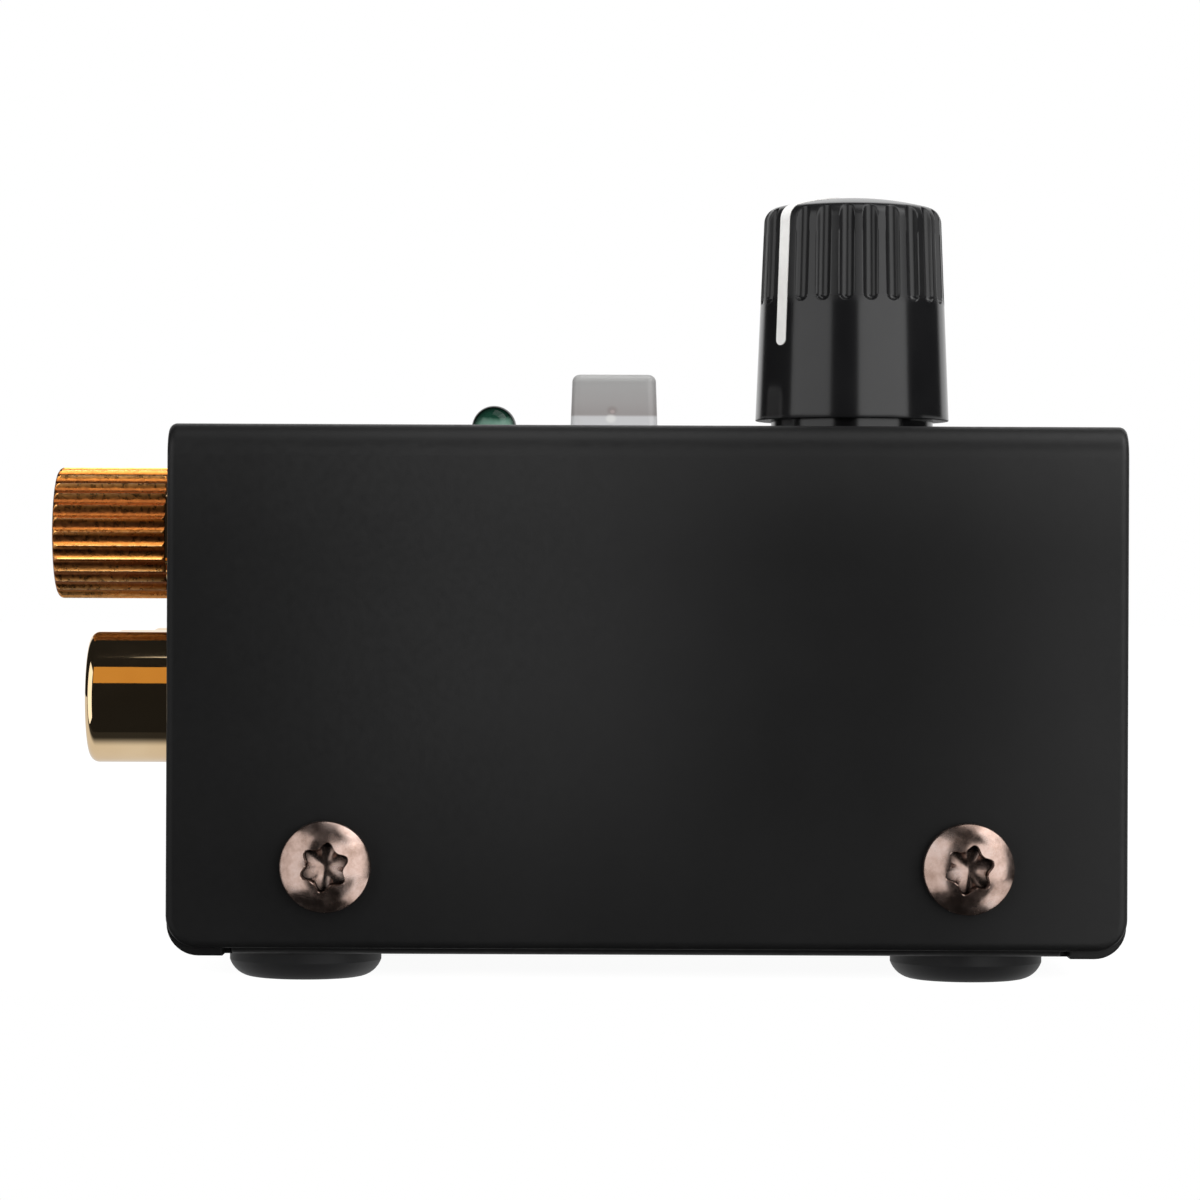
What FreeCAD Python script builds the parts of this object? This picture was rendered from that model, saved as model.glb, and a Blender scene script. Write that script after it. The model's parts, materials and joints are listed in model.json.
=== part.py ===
import FreeCAD, Part
import math
import os
import re
import Sketcher

# Palm-size phono preamp: a bent steel case with the level knob, power button and power light
# on its top, and the jacks and ground post on its rear wall.
# Millimetres. +Z is up, the front faces -Y and the rear wall faces +Y.
# Positions are written in case terms: x from the middle of the length, y from the middle of
# the depth, z from the underside of the case.

SIZES = {
    # Case of bent sheet
    "case_length": 122.0,
    "case_depth": 60.0,
    "case_height": 33.3,
    "sheet": 1.0,
    "bend_inside": 1.0,
    "edge_round": 0.5,
    "end_plate_lift": 0.54,
    "case_gap": 0.1,
    "flange_inset": 4.0,
    "flange_height": 10.4,
    "bend_relief": 0.5,
    # Screws that hold the cover to the flanges of the base
    "cover_screw_spacing": 40.0,
    "cover_screw_height": 5.68,
    "cover_screw_length": 5.0,
    "cover_screw_radius": 1.5,
    "cover_screw_hole_gap": 0.2,
    "screw_head_radius": 2.85,
    "screw_head_height": 1.75,
    "screw_head_rim": 0.5,
    "screw_rim_round": 0.17,
    "screw_dome_radius": 2.05,
    "screw_tip_bevel": 0.25,
    "screw_lead_in_radius": 1.6,
    "screw_recess_depth": 1.25,
    "screw_floor_radius": 1.45,
    "screw_lobe_reach": 1.38,
    "screw_flute_reach": 1.02,
    "screw_flute_radius": 0.55,
    "thread_rim_radius": 2.3,
    "thread_rim_length": 1.0,
    "thread_gap": 0.02,
    "thread_bevel": 0.4,
    "nut_face_share": 0.48,
    "nut_bevel_slope": 0.9,
    # Rubber feet
    "foot_height": 1.92,
    "foot_radius": 4.87,
    "foot_flat_radius": 3.3,
    "foot_curve_height": 1.1,
    "foot_curve_radius": 1.6,
    "foot_spacing": 42.5,
    "foot_shift": 0.59,
    "foot_inset": 9.7,
    # Board and what carries it
    "board_end_gap": 5.5,
    "board_front_gap": 1.0,
    "board_rear_gap": 0.3,
    "board_thickness": 1.6,
    "standoff_height": 5.38,
    "standoff_width": 5.5,
    "standoff_spigot_radius": 1.9,
    "standoff_inset": 11.0,
    "standoff_front_inset": 8.0,
    "standoff_rear_inset": 18.0,
    "board_screw_radius": 1.5,
    "board_screw_length": 5.5,
    "board_screw_head_radius": 2.75,
    "board_screw_head_height": 1.8,
    "board_screw_head_round": 0.6,
    "board_screw_slot_width": 0.8,
    "board_screw_slot_depth": 1.0,
    "board_hole_gap": 0.1,
    # Solder pins
    "pin_radius": 0.4,
    "pin_tail": 1.2,
    "pin_hole_gap": 0.1,
    # Controls on the top
    "column_inset": 20.5,
    "knob_offset": -13.8,
    "button_offset": 2.1,
    "led_offset": 10.1,
    # Level knob
    "knob_lift": 1.03,
    "knob_height": 14.85,
    "knob_base_radius": 6.45,
    "knob_top_radius": 5.88,
    "knob_dome_rise": 0.85,
    "knob_shoulder_radius": 1.05,
    "knob_edge_radius": 0.15,
    "knob_collar_radius": 5.4,
    "knob_collar_drop": 0.7,
    "knob_rest_angle": 38.2,
    "groove_count": 24,
    "groove_radius": 0.48,
    "groove_depth": 0.4,
    "groove_end": 8.2,
    "pointer_width": 0.9,
    "pointer_end": 4.7,
    "pointer_end_radius": 0.5,
    "pointer_start": 1.6,
    "pointer_depth": 0.45,
    "pointer_proud": 0.06,
    # Level potentiometer
    "shaft_radius": 3.0,
    "shaft_stub_radius": 2.0,
    "shaft_end_gap": 5.8,
    "shaft_flat_length": 9.0,
    "shaft_flat_height": 1.5,
    "shaft_chamfer": 0.4,
    "shaft_hole_gap": 0.8,
    "running_gap": 0.03,
    "pot_width": 9.8,
    "pot_depth": 11.4,
    "pot_height": 6.8,
    "pot_wall": 0.8,
    "pot_roof": 1.0,
    "pot_roof_gap": 0.4,
    "pot_track_thickness": 1.0,
    "pot_pin_pitch": 2.5,
    "pot_pin_row": 5.0,
    "wiper_radius": 3.7,
    "wiper_thickness": 1.4,
    "wiper_lift": 1.0,
    "brush_reach": 2.9,
    "brush_width": 0.8,
    "brush_gap": 0.05,
    "bushing_radius": 3.9,
    "bushing_length": 5.0,
    "bushing_flange_radius": 4.7,
    "bushing_flange_thickness": 0.6,
    # Power button and switch
    "button_width": 5.8,
    "button_lift": 3.98,
    "button_draft": 2.0,
    "button_corner_radius": 0.6,
    "button_top_radius": 0.5,
    "button_hole_gap": 0.35,
    "button_travel": 2.2,
    "button_stop_gap": 0.4,
    "button_socket_depth": 3.4,
    "plunger_width": 3.0,
    "plunger_gap": 0.05,
    "plunger_flange_width": 6.0,
    "plunger_flange_thickness": 1.2,
    "plunger_pin_radius": 0.9,
    "plunger_pin_length": 1.8,
    "switch_width": 8.5,
    "switch_height": 7.8,
    "switch_wall": 0.9,
    "switch_floor": 1.0,
    "switch_pin_pitch": 2.0,
    "switch_pin_row": 2.5,
    "spring_radius": 1.6,
    "spring_wire_radius": 0.2,
    "spring_turns": 4,
    # Power light
    "led_radius": 1.5,
    "led_lift": 1.98,
    "led_length": 5.3,
    "led_flange_radius": 1.9,
    "led_flange_height": 1.0,
    "led_hole_gap": 0.15,
    "led_spacer_radius": 2.1,
    "led_lead_width": 0.5,
    "led_lead_pitch": 2.54,
    "led_lead_bore_gap": 0.15,
    "led_lead_hole_radius": 0.475,
    "led_cup_width": 1.1,
    "led_cup_height": 0.9,
    "led_cup_depth": 0.7,
    "led_post_width": 0.45,
    "led_frame_height": 3.2,
    # Phono jacks, two pairs
    "jack_axis_height": 8.0,
    "jack_pitch": 14.0,
    "input_inset": 16.5,
    "output_shift": 5.25,
    "shell_radius": 4.2,
    "shell_wall": 0.7,
    "shell_reach": 5.71,
    "shell_mouth_radius": 0.6,
    "shell_seat": 2.0,
    "shell_flange_radius": 5.2,
    "shell_flange_thickness": 0.5,
    "shell_shoulder_radius": 4.4,
    "shell_shoulder_reach": 0.1,
    "shell_hole_gap": 0.1,
    "shell_tail_width": 1.2,
    "insulator_recess": 0.5,
    "insulator_bore_radius": 1.8,
    "insulator_lip": 1.0,
    "insulator_edge_radius": 0.2,
    "contact_radius": 2.1,
    "contact_bore_radius": 1.62,
    "block_gap": 0.8,
    "block_depth": 9.0,
    "block_side": 6.0,
    "tail_thickness": 0.5,
    # Quarter-inch output jack
    "trs_inset": 37.0,
    "trs_width": 15.5,
    "trs_depth": 24.0,
    "trs_height": 14.6,
    "trs_bore_radius": 3.25,
    "trs_nose_radius": 4.5,
    "trs_nose_reach": 3.3,
    "trs_nose_seat": 1.5,
    "trs_hole_gap": 0.25,
    "trs_washer_radius": 6.6,
    "trs_washer_thickness": 0.5,
    "trs_nut_width": 12.0,
    "trs_nut_thickness": 2.0,
    "trs_contact_width": 3.0,
    "trs_contact_pitch": 7.0,
    "trs_contact_height": 3.0,
    "trs_contact_gap": 0.15,
    "trs_window_width": 2.4,
    # Power inlet
    "dc_inset": 15.0,
    "dc_width": 9.0,
    "dc_depth": 14.2,
    "dc_height": 10.8,
    "dc_axis_height": 6.2,
    "dc_socket_radius": 3.1,
    "dc_socket_depth": 9.6,
    "dc_pin_radius": 1.0,
    "dc_pin_recess": 0.8,
    "dc_contact_width": 2.4,
    "dc_contact_length": 7.0,
    "dc_contact_thickness": 0.35,
    "dc_hole_gap": 0.2,
    # Ground post
    "post_drop": 6.69,
    "post_nut_gap": 0.8,
    "stud_radius": 2.0,
    "stud_flange_radius": 3.9,
    "stud_flange_thickness": 0.7,
    "stud_recess": 0.6,
    "stud_hole_gap": 0.1,
    "stud_inner_end": 1.0,
    "post_washer_radius": 4.0,
    "post_washer_thickness": 0.6,
    "post_washer_gap": 0.2,
    "thumb_nut_radius": 4.32,
    "thumb_nut_length": 7.34,
    "thumb_nut_round": 0.25,
    "thumb_nut_seat_gap": 0.02,
    "knurl_count": 30,
    "knurl_radius": 0.32,
    "knurl_depth": 0.26,
    "lug_radius": 3.6,
    "lug_thickness": 0.8,
    "lug_tab_width": 3.0,
    "lug_tab_reach": 9.0,
    "inner_nut_width": 7.0,
    "inner_nut_thickness": 2.4,
    "ground_wire_radius": 0.65,
    "ground_wire_run": 14.0,
    "ground_wire_bend": 4.0,
    # Small parts on the board
    "op_amp_length": 4.9,
    "op_amp_width": 3.9,
    "op_amp_thickness": 1.45,
    "op_amp_lift": 0.15,
    "op_amp_leg_width": 0.42,
    "op_amp_leg_reach": 1.05,
    "op_amp_leg_pitch": 1.27,
    "op_amp_leg_thickness": 0.25,
    "op_amp_spacing": 16.0,
    "op_amp_offset": -3.0,
    "can_radius": 3.15,
    "can_height": 5.4,
    "can_base": 6.6,
    "can_base_height": 0.9,
    "can_round": 0.5,
    "can_row_gap": 22.5,
    "can_end_gap": 8.0,
    "can_offset": -19.0,
    "can_count": 6,
    "film_length": 7.2,
    "film_width": 3.5,
    "film_height": 6.5,
    "film_pin_pitch": 5.0,
    "film_round": 0.4,
    "film_pitch": 10.0,
    "film_offset": 8.0,
    "film_count": 4,
    "chip_length": 3.2,
    "chip_width": 1.6,
    "chip_height": 0.55,
    "chip_pitch": 5.0,
    "chip_offset": -10.0,
    "chip_count": 12,
    "regulator_shift": -1.0,
    "regulator_offset": -6.0,
    "regulator_width": 6.5,
    "regulator_depth": 6.1,
    "regulator_height": 2.3,
    "regulator_tab_width": 5.2,
    "regulator_tab_depth": 1.6,
    "regulator_tab_thickness": 0.5,
    "regulator_leg_width": 0.8,
    "regulator_leg_reach": 2.7,
    "regulator_leg_pitch": 2.3,
}

# Places that follow from the sizes, each a formula over the sizes and the places above it.
PLACES = {
    "post_reach": "stud_flange_thickness + post_washer_thickness + thumb_nut_seat_gap + thumb_nut_length",
    "rear_reach": "max(post_reach; shell_reach; trs_nose_reach; 0)",
    "middle_y": "-rear_reach / 2",
    "rear_y": "case_depth / 2",
    "rear_inner_y": "rear_y - sheet",
    "wall_top": "case_height - sheet - case_gap",
    "base_end_x": "case_length / 2 - sheet - case_gap",
    "flange_width": "case_depth - 2 * flange_inset",
    "bend_outside": "bend_inside + sheet",
    "column_x": "column_inset - case_length / 2",
    "board_length": "case_length - 2 * board_end_gap",
    "board_z": "sheet + standoff_height",
    "board_top": "board_z + board_thickness",
    "board_front_y": "board_front_gap + sheet - rear_y",
    "board_back_y": "rear_inner_y - board_rear_gap",
    "standoff_x": "board_length / 2 - standoff_inset / 2",
    "can_row_x": "column_x + can_row_gap",
    "can_pitch": "(standoff_x - can_end_gap - can_row_x) / (can_count - 1)",
    "standoff_front_y": "board_front_y + standoff_front_inset",
    "standoff_rear_y": "board_back_y - standoff_rear_inset",
    "pin_height": "board_thickness + pin_tail",
    "pin_z": "board_z - pin_tail",
    "jack_z": "board_top + jack_axis_height",
    "shell_bore_radius": "shell_radius - shell_wall",
    "block_front_y": "rear_inner_y - block_gap",
    "shell_start_y": "block_front_y - shell_seat",
    "shell_end_y": "rear_y + shell_reach",
    "input_x": "input_inset - case_length / 2",
    "trs_x": "case_length / 2 - trs_inset",
    "dc_x": "case_length / 2 - dc_inset",
    "output_x": "(input_x + trs_x) / 2 + output_shift",
    "post_height": "case_height - post_drop",
    "block_roof_z": "post_height - inner_nut_width / 2 - post_nut_gap",
    "knob_z": "case_height + knob_lift",
    "shaft_top_z": "knob_z + knob_height - shaft_end_gap",
    "pot_roof_z": "board_top + pot_height - pot_roof",
    "wiper_z": "board_top + pot_track_thickness + wiper_lift",
    "chamber_z": "board_top + switch_floor",
    "switch_top": "board_top + switch_height",
    "switch_roof_z": "switch_top - switch_wall",
    "plunger_flange_z": "switch_roof_z - plunger_gap - plunger_flange_thickness",
    "cap_z": "switch_top + button_travel + button_stop_gap",
    "plunger_top": "cap_z + button_socket_depth",
    "led_z": "case_height + led_lift - led_length",
    "dc_z": "board_top + dc_axis_height",
    "post_inner_y": "rear_inner_y - lug_thickness",
}

doc = FreeCAD.newDocument("PhonoPreamp")
sizes = doc.addObject("Spreadsheet::Sheet", "Sizes")
places = doc.addObject("Spreadsheet::Sheet", "Places")
PARTS = []


def bound(formula):
    """The formula with each alias preceded by the name of its sheet."""
    def owned(word):
        name = word.group()
        if name in SIZES:
            return "Sizes." + name
        if name in PLACES:
            return "Places." + name
        return name
    return re.sub(r"[a-z][a-z_]*", owned, str(formula))


def value(formula):
    """The number that a formula over the sheets gives now."""
    return float(sizes.evalExpression(bound(formula)))


def fill_sheets():
    for row, (alias, number) in enumerate(SIZES.items(), 1):
        sizes.set(f"A{row}", alias)
        sizes.set(f"B{row}", str(number))
        sizes.setAlias(f"B{row}", alias)
    for row, (alias, formula) in enumerate(PLACES.items(), 1):
        places.set(f"A{row}", alias)
        places.set(f"B{row}", "=" + bound(formula).replace("Places.", ""))
        places.setAlias(f"B{row}", alias)
    doc.recompute()


fill_sheets()

UP = FreeCAD.Rotation()
TO_REAR = FreeCAD.Rotation(FreeCAD.Vector(1, 0, 0), -90)
TO_RIGHT = FreeCAD.Rotation(FreeCAD.Vector(0, 1, 0), 90)


def bind(item, **formulas):
    """Binds properties of an object to formulas over the sheets."""
    for name, formula in formulas.items():
        item.setExpression(name, bound(formula))


def place(item, across="0", back="0", up="0", turned=UP):
    """Puts an object at a place in case terms."""
    item.Placement = FreeCAD.Placement(FreeCAD.Vector(), turned)
    item.setExpression("Placement.Base.x", bound(across))
    item.setExpression("Placement.Base.y", bound(f"middle_y + ({back})"))
    item.setExpression("Placement.Base.z", bound(f"foot_height + ({up})"))
    return item


def kept(item, label):
    """Names an object as a sub-part that is written to a file."""
    item.Label = label
    PARTS.append(item)
    return item


def new_body(name):
    return doc.addObject("PartDesign::Body", name)


def origin_part(body, role):
    return next(part for part in body.Origin.OriginFeatures if part.Role == role)


def new_sketch(body, plane, lift=None):
    sketch = body.newObject("Sketcher::SketchObject", "Sketch")
    sketch.AttachmentSupport = (origin_part(body, plane), [""])
    sketch.MapMode = "FlatFace"
    if lift:
        sketch.setExpression("AttachmentOffset.Base.z", bound(lift))
    return sketch


def pin_point(sketch, edge, end, across, up):
    """Holds one end of an edge at two formulas from the sketch's origin."""
    for kind, formula in (("DistanceX", across), ("DistanceY", up)):
        number = sketch.addConstraint(
            Sketcher.Constraint(kind, -1, 1, edge, end, value(formula)))
        sketch.setExpression(f"Constraints[{number}]", bound(formula))


def outline(body, plane, corners, lift=None):
    """A closed sketch. A corner is (across, up); with a radius and a side, the edge that
    leaves it is an arc, with its centre to the left (1) or the right (-1) of the way there."""
    sketch = new_sketch(body, plane, lift)
    points = [FreeCAD.Vector(value(corner[0]), value(corner[1]), 0) for corner in corners]
    ends = []
    for index, corner in enumerate(corners):
        here = points[index]
        there = points[(index + 1) % len(points)]
        if len(corner) == 2:
            sketch.addGeometry(Part.LineSegment(here, there), False)
            ends.append((1, 2))
            continue
        radius = value(corner[2])
        side = corner[3]
        half = (there - here) * 0.5
        drop = math.sqrt(max(radius * radius - half.Length * half.Length, 0))
        normal = FreeCAD.Vector(-half.y, half.x, 0).normalize()
        centre = here + half + normal * (drop * side)
        first, last = (here, there) if side > 0 else (there, here)
        angles = [math.atan2((point - centre).y, (point - centre).x) for point in (first, last)]
        circle = Part.Circle(centre, FreeCAD.Vector(0, 0, 1), radius)
        sketch.addGeometry(Part.ArcOfCircle(circle, angles[0], angles[1]), False)
        ends.append((1, 2) if side > 0 else (2, 1))
    for index, corner in enumerate(corners):
        following = (index + 1) % len(corners)
        sketch.addConstraint(
            Sketcher.Constraint("Coincident", index, ends[index][1], following, ends[following][0]))
        pin_point(sketch, index, ends[index][0], corner[0], corner[1])
        if len(corner) > 2:
            number = sketch.addConstraint(
                Sketcher.Constraint("Radius", index, value(corner[2])))
            sketch.setExpression(f"Constraints[{number}]", bound(corner[2]))
    return sketch


def rectangle(left, right, low, high):
    return [(left, low), (right, low), (right, high), (left, high)]


def circles(body, plane, rounds):
    """A sketch of full circles, each (across, up, radius)."""
    sketch = new_sketch(body, plane)
    for index, (across, up, radius) in enumerate(rounds):
        centre = FreeCAD.Vector(value(across), value(up), 0)
        circle = Part.Circle(centre, FreeCAD.Vector(0, 0, 1), value(radius))
        sketch.addGeometry(circle, False)
        pin_point(sketch, index, 3, across, up)
        number = sketch.addConstraint(Sketcher.Constraint("Radius", index, value(radius)))
        sketch.setExpression(f"Constraints[{number}]", bound(radius))
    return sketch


def pad(body, sketch, length, centred=False, draft=None):
    feature = body.newObject("PartDesign::Pad", "Pad")
    feature.Profile = sketch
    feature.Midplane = centred
    bind(feature, Length=length)
    if draft:
        bind(feature, TaperAngle=draft)
    doc.recompute()
    return feature


def turn(body, corners):
    """A solid turned about the body's own Z axis from a profile of (radius, height)."""
    feature = body.newObject("PartDesign::Revolution", "Turned")
    feature.Profile = outline(body, "XZ_Plane", corners)
    feature.ReferenceAxis = (origin_part(body, "Z_Axis"), [""])
    feature.Angle = 360
    doc.recompute()
    return feature


def pocket(body, sketch, depth=None, centred=False, backwards=False):
    """Cuts a sketch out of a body, right through when no depth is given."""
    before = body.Shape.Volume
    feature = body.newObject("PartDesign::Pocket", "Pocket")
    feature.Profile = sketch
    feature.Midplane = centred
    feature.Reversed = backwards
    if depth is None:
        feature.Type = "ThroughAll"
    else:
        bind(feature, Length=depth)
    doc.recompute()
    if not body.Shape.Volume < before:
        raise ValueError(f"a pocket of {body.Name} cuts nothing")
    return feature


def rounded(body, radius, chosen, kind="PartDesign::Fillet"):
    """Rounds or bevels the edges of a body that a test chooses."""
    base = body.Tip
    names = [f"Edge{n}" for n, edge in enumerate(base.Shape.Edges, 1) if chosen(edge)]
    if not names:
        raise ValueError(f"no edge of {body.Name} is chosen")
    feature = body.newObject(kind, "Rounded")
    feature.Base = (base, names)
    bind(feature, **{"Size" if kind.endswith("Chamfer") else "Radius": radius})
    doc.recompute()
    return feature


def near(number, target):
    return abs(number - target) < 0.001


def round_edge(edge):
    """The circle that an edge lies on, or None."""
    if edge.Degenerated or "Circle" not in edge.Curve.TypeId:
        return None
    return edge.Curve


def ring_at(radius, height):
    """Chooses round edges of a turned body by radius and height."""
    radius = value(radius)
    height = value(height)

    def chosen(edge):
        circle = round_edge(edge)
        return bool(circle) and near(circle.Radius, radius) and near(circle.Center.z, height)
    return chosen


def around(body, features, count, angle):
    """Repeats features about the body's Z axis."""
    before = body.Shape.Volume
    pattern = body.newObject("PartDesign::PolarPattern", "Around")
    pattern.Originals = features
    pattern.Axis = (origin_part(body, "Z_Axis"), [""])
    bind(pattern, Occurrences=count, Angle=angle)
    body.Tip = pattern
    doc.recompute()
    if near(body.Shape.Volume, before):
        raise ValueError(f"a pattern of {body.Name} changes nothing")
    return pattern


def corner_box(name, across, back, up, length, depth, height):
    """A box from its low left front corner and its three sizes."""
    item = doc.addObject("Part::Box", name)
    bind(item, Length=length, Width=depth, Height=height)
    return place(item, across, back, up)


def middle_box(name, across, back, up, length, depth, height):
    """A box centred across and back on a point, standing on a height."""
    return corner_box(
        name, f"{across} - ({length}) / 2", f"{back} - ({depth}) / 2", up, length, depth, height)


def rod(name, across, back, up, radius, height, turned=UP):
    item = doc.addObject("Part::Cylinder", name)
    bind(item, Radius=radius, Height=height)
    return place(item, across, back, up, turned)


def fused(name, pieces):
    item = doc.addObject("Part::MultiFuse", name)
    item.Shapes = pieces
    return item


def grouped(name, pieces):
    item = doc.addObject("Part::Compound", name)
    item.Links = pieces
    return item


def cut(name, base, tool):
    item = doc.addObject("Part::Cut", name)
    item.Base = base
    item.Tool = tool
    return item


def mirrored(name, source):
    """The same piece at the other end of the case."""
    item = doc.addObject("Part::Mirroring", name)
    item.Source = source
    item.Normal = (1, 0, 0)
    return item


# Case

def jack_places():
    """Across place of each phono jack, by name."""
    return {
        "input_left": "input_x - jack_pitch / 2",
        "input_right": "input_x + jack_pitch / 2",
        "output_left": "output_x - jack_pitch / 2",
        "output_right": "output_x + jack_pitch / 2",
    }


def cover_screw_holes(radius):
    return [
        ("cover_screw_spacing / 2", "cover_screw_height", radius),
        ("-cover_screw_spacing / 2", "cover_screw_height", radius),
    ]


def make_top_cover():
    """Top plate and two end plates, bent from one sheet."""
    body = new_body("Cover")
    end = "case_length / 2"
    section = [
        (f"-{end}", "end_plate_lift"),
        (f"-{end} + sheet", "end_plate_lift"),
        (f"-{end} + sheet", "case_height - sheet"),
        (f"{end} - sheet", "case_height - sheet"),
        (f"{end} - sheet", "end_plate_lift"),
        (end, "end_plate_lift"),
        (end, "case_height"),
        (f"-{end}", "case_height"),
    ]
    pad(body, outline(body, "XZ_Plane", section), "case_depth", centred=True)
    half = value(end)
    top = value("case_height")
    low = value("end_plate_lift")
    inner = half - value("sheet")

    def along_y(edge):
        return edge.BoundBox.YLength > value("sheet")

    def outer_bend(edge):
        middle = edge.CenterOfMass
        return along_y(edge) and near(abs(middle.x), half) and near(middle.z, top)

    def inner_bend(edge):
        middle = edge.CenterOfMass
        return along_y(edge) and near(abs(middle.x), inner) and middle.z > top / 2

    def low_corner(edge):
        box = edge.BoundBox
        return box.YLength < 0.001 and box.ZLength < 0.001 and near(box.ZMin, low)

    rounded(body, "bend_outside", outer_bend)
    rounded(body, "bend_inside", inner_bend)
    rounded(body, "bend_outside", low_corner)
    pocket(body, outline(body, "XY_Plane", rectangle(
        "column_x - button_width / 2 - button_hole_gap",
        "column_x + button_width / 2 + button_hole_gap",
        "button_offset - button_width / 2 - button_hole_gap",
        "button_offset + button_width / 2 + button_hole_gap")), backwards=True)

    def hole_corner(edge):
        box = edge.BoundBox
        upright = box.XLength < 0.001 and box.YLength < 0.001
        beside = abs(box.XMin - value("column_x")) < value("button_width")
        return upright and beside
    rounded(body, "button_corner_radius", hole_corner)
    pocket(body, circles(body, "XY_Plane", [
        ("column_x", "led_offset", "led_radius + led_hole_gap"),
        ("column_x", "knob_offset", "shaft_radius + shaft_hole_gap"),
    ]), backwards=True)
    pocket(body, circles(
        body, "YZ_Plane", cover_screw_holes("cover_screw_radius + cover_screw_hole_gap")),
        centred=True)

    def round_hole(edge):
        return isinstance(edge.Curve, Part.Circle) and edge.isClosed()

    def outer_rim(edge):
        """Edges of the outer surface: on the front or rear face, or the foot of an end plate."""
        box = edge.BoundBox
        on_skin = near(box.ZMax, top) or near(max(abs(box.XMin), abs(box.XMax)), half)
        flat_side = box.YLength < 0.001 and near(abs(box.YMin), value("rear_y"))
        outside = near(box.ZMin, top) or near(min(abs(box.XMin), abs(box.XMax)), half)
        bend = box.XLength > 0.01 and box.ZLength > 0.01 and near(
            edge.Curve.Radius if isinstance(edge.Curve, Part.Circle) else 0,
            value("bend_outside"))
        foot = near(box.XMin, box.XMax) and near(abs(box.XMin), half) and (
            box.ZMin < low + value("bend_outside") + 0.001)
        return (on_skin and flat_side and (outside or bend)) or (foot and not round_hole(edge))
    rounded(body, "edge_round", outer_rim)
    return place(kept(body, "top_cover"))


def make_base_chassis():
    """Bottom, front and rear walls and two low end flanges, bent from one sheet."""
    body = new_body("Chassis")
    section = [
        ("-rear_y", "0"),
        ("rear_y", "0"),
        ("rear_y", "wall_top"),
        ("rear_inner_y", "wall_top"),
        ("rear_inner_y", "sheet"),
        ("-rear_inner_y", "sheet"),
        ("-rear_inner_y", "wall_top"),
        ("-rear_y", "wall_top"),
    ]
    pad(body, outline(body, "YZ_Plane", section), "base_end_x * 2", centred=True)
    end = value("base_end_x")
    back = value("rear_y")
    sheet = value("sheet")

    def long_bend(edge):
        box = edge.BoundBox
        low = near(box.ZMax, 0) and near(abs(box.YMin), back)
        inside = near(box.ZMin, sheet) and near(abs(box.YMin), back - sheet)
        return box.XLength > sheet and box.ZLength < 0.001 and (low or inside)

    def outside_only(edge):
        return long_bend(edge) and edge.BoundBox.ZMax < sheet / 2

    def inside_only(edge):
        return long_bend(edge) and edge.BoundBox.ZMax > sheet / 2
    rounded(body, "bend_outside", outside_only)
    rounded(body, "bend_inside", inside_only)

    def wall_corner(edge):
        box = edge.BoundBox
        upright_place = near(abs(box.XMin), end) and near(box.ZMin, value("wall_top"))
        return upright_place and near(box.YLength, sheet) and box.XLength < 0.001
    rounded(body, "bend_inside", wall_corner)
    for side in ("", "-"):
        notch = rectangle(
            f"{side}(base_end_x - bend_outside)", f"{side}(base_end_x + bend_outside)",
            "-flange_width / 2 - bend_relief", "flange_width / 2 + bend_relief")
        pocket(body, outline(body, "XY_Plane", notch), "sheet", backwards=True)
    flanges = [
        ("-base_end_x", "0"),
        ("base_end_x", "0"),
        ("base_end_x", "flange_height"),
        ("base_end_x - sheet", "flange_height"),
        ("base_end_x - sheet", "sheet"),
        ("-base_end_x + sheet", "sheet"),
        ("-base_end_x + sheet", "flange_height"),
        ("-base_end_x", "flange_height"),
    ]
    pad(body, outline(body, "XZ_Plane", flanges), "flange_width", centred=True)

    def end_bend(edge):
        box = edge.BoundBox
        low = near(box.ZMax, 0) and near(abs(box.XMin), end)
        inside = near(box.ZMin, sheet) and near(abs(box.XMin), end - sheet)
        across = near(box.YLength, value("flange_width")) and box.ZLength < 0.001
        return across and (low or inside)

    def end_outside(edge):
        return end_bend(edge) and edge.BoundBox.ZMax < sheet / 2

    def end_inside(edge):
        return end_bend(edge) and edge.BoundBox.ZMax > sheet / 2
    rounded(body, "bend_outside", end_outside)
    rounded(body, "bend_inside", end_inside)
    for side in ("", "-"):
        rims = circles(body, "YZ_Plane", cover_screw_holes("thread_rim_radius"))
        start = f"{side}(base_end_x - sheet)"
        rims.setExpression("AttachmentOffset.Base.z", bound(start))
        collar = pad(body, rims, "thread_rim_length")
        collar.Reversed = side == ""
        doc.recompute()
    pocket(body, circles(body, "YZ_Plane", cover_screw_holes("cover_screw_radius + thread_gap")),
           centred=True)
    rear_holes = [(across, "jack_z", "shell_shoulder_radius + shell_hole_gap")
                  for across in jack_places().values()]
    rear_holes.append(("input_x", "post_height", "stud_radius + stud_hole_gap"))
    rear_holes.append(("trs_x", "jack_z", "trs_nose_radius + trs_hole_gap"))
    pocket(body, circles(body, "XZ_Plane", rear_holes))
    pocket(body, outline(body, "XZ_Plane", rectangle(
        "dc_x - dc_width / 2 - dc_hole_gap", "dc_x + dc_width / 2 + dc_hole_gap",
        "board_top - dc_hole_gap", "board_top + dc_height + dc_hole_gap")))
    spigots = [(across, back_place, "standoff_spigot_radius")
               for across in ("standoff_x", "-standoff_x")
               for back_place in ("standoff_front_y", "standoff_rear_y")]
    pocket(body, circles(body, "XY_Plane", spigots), "sheet", backwards=True)
    return place(kept(body, "base_chassis"))


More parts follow.
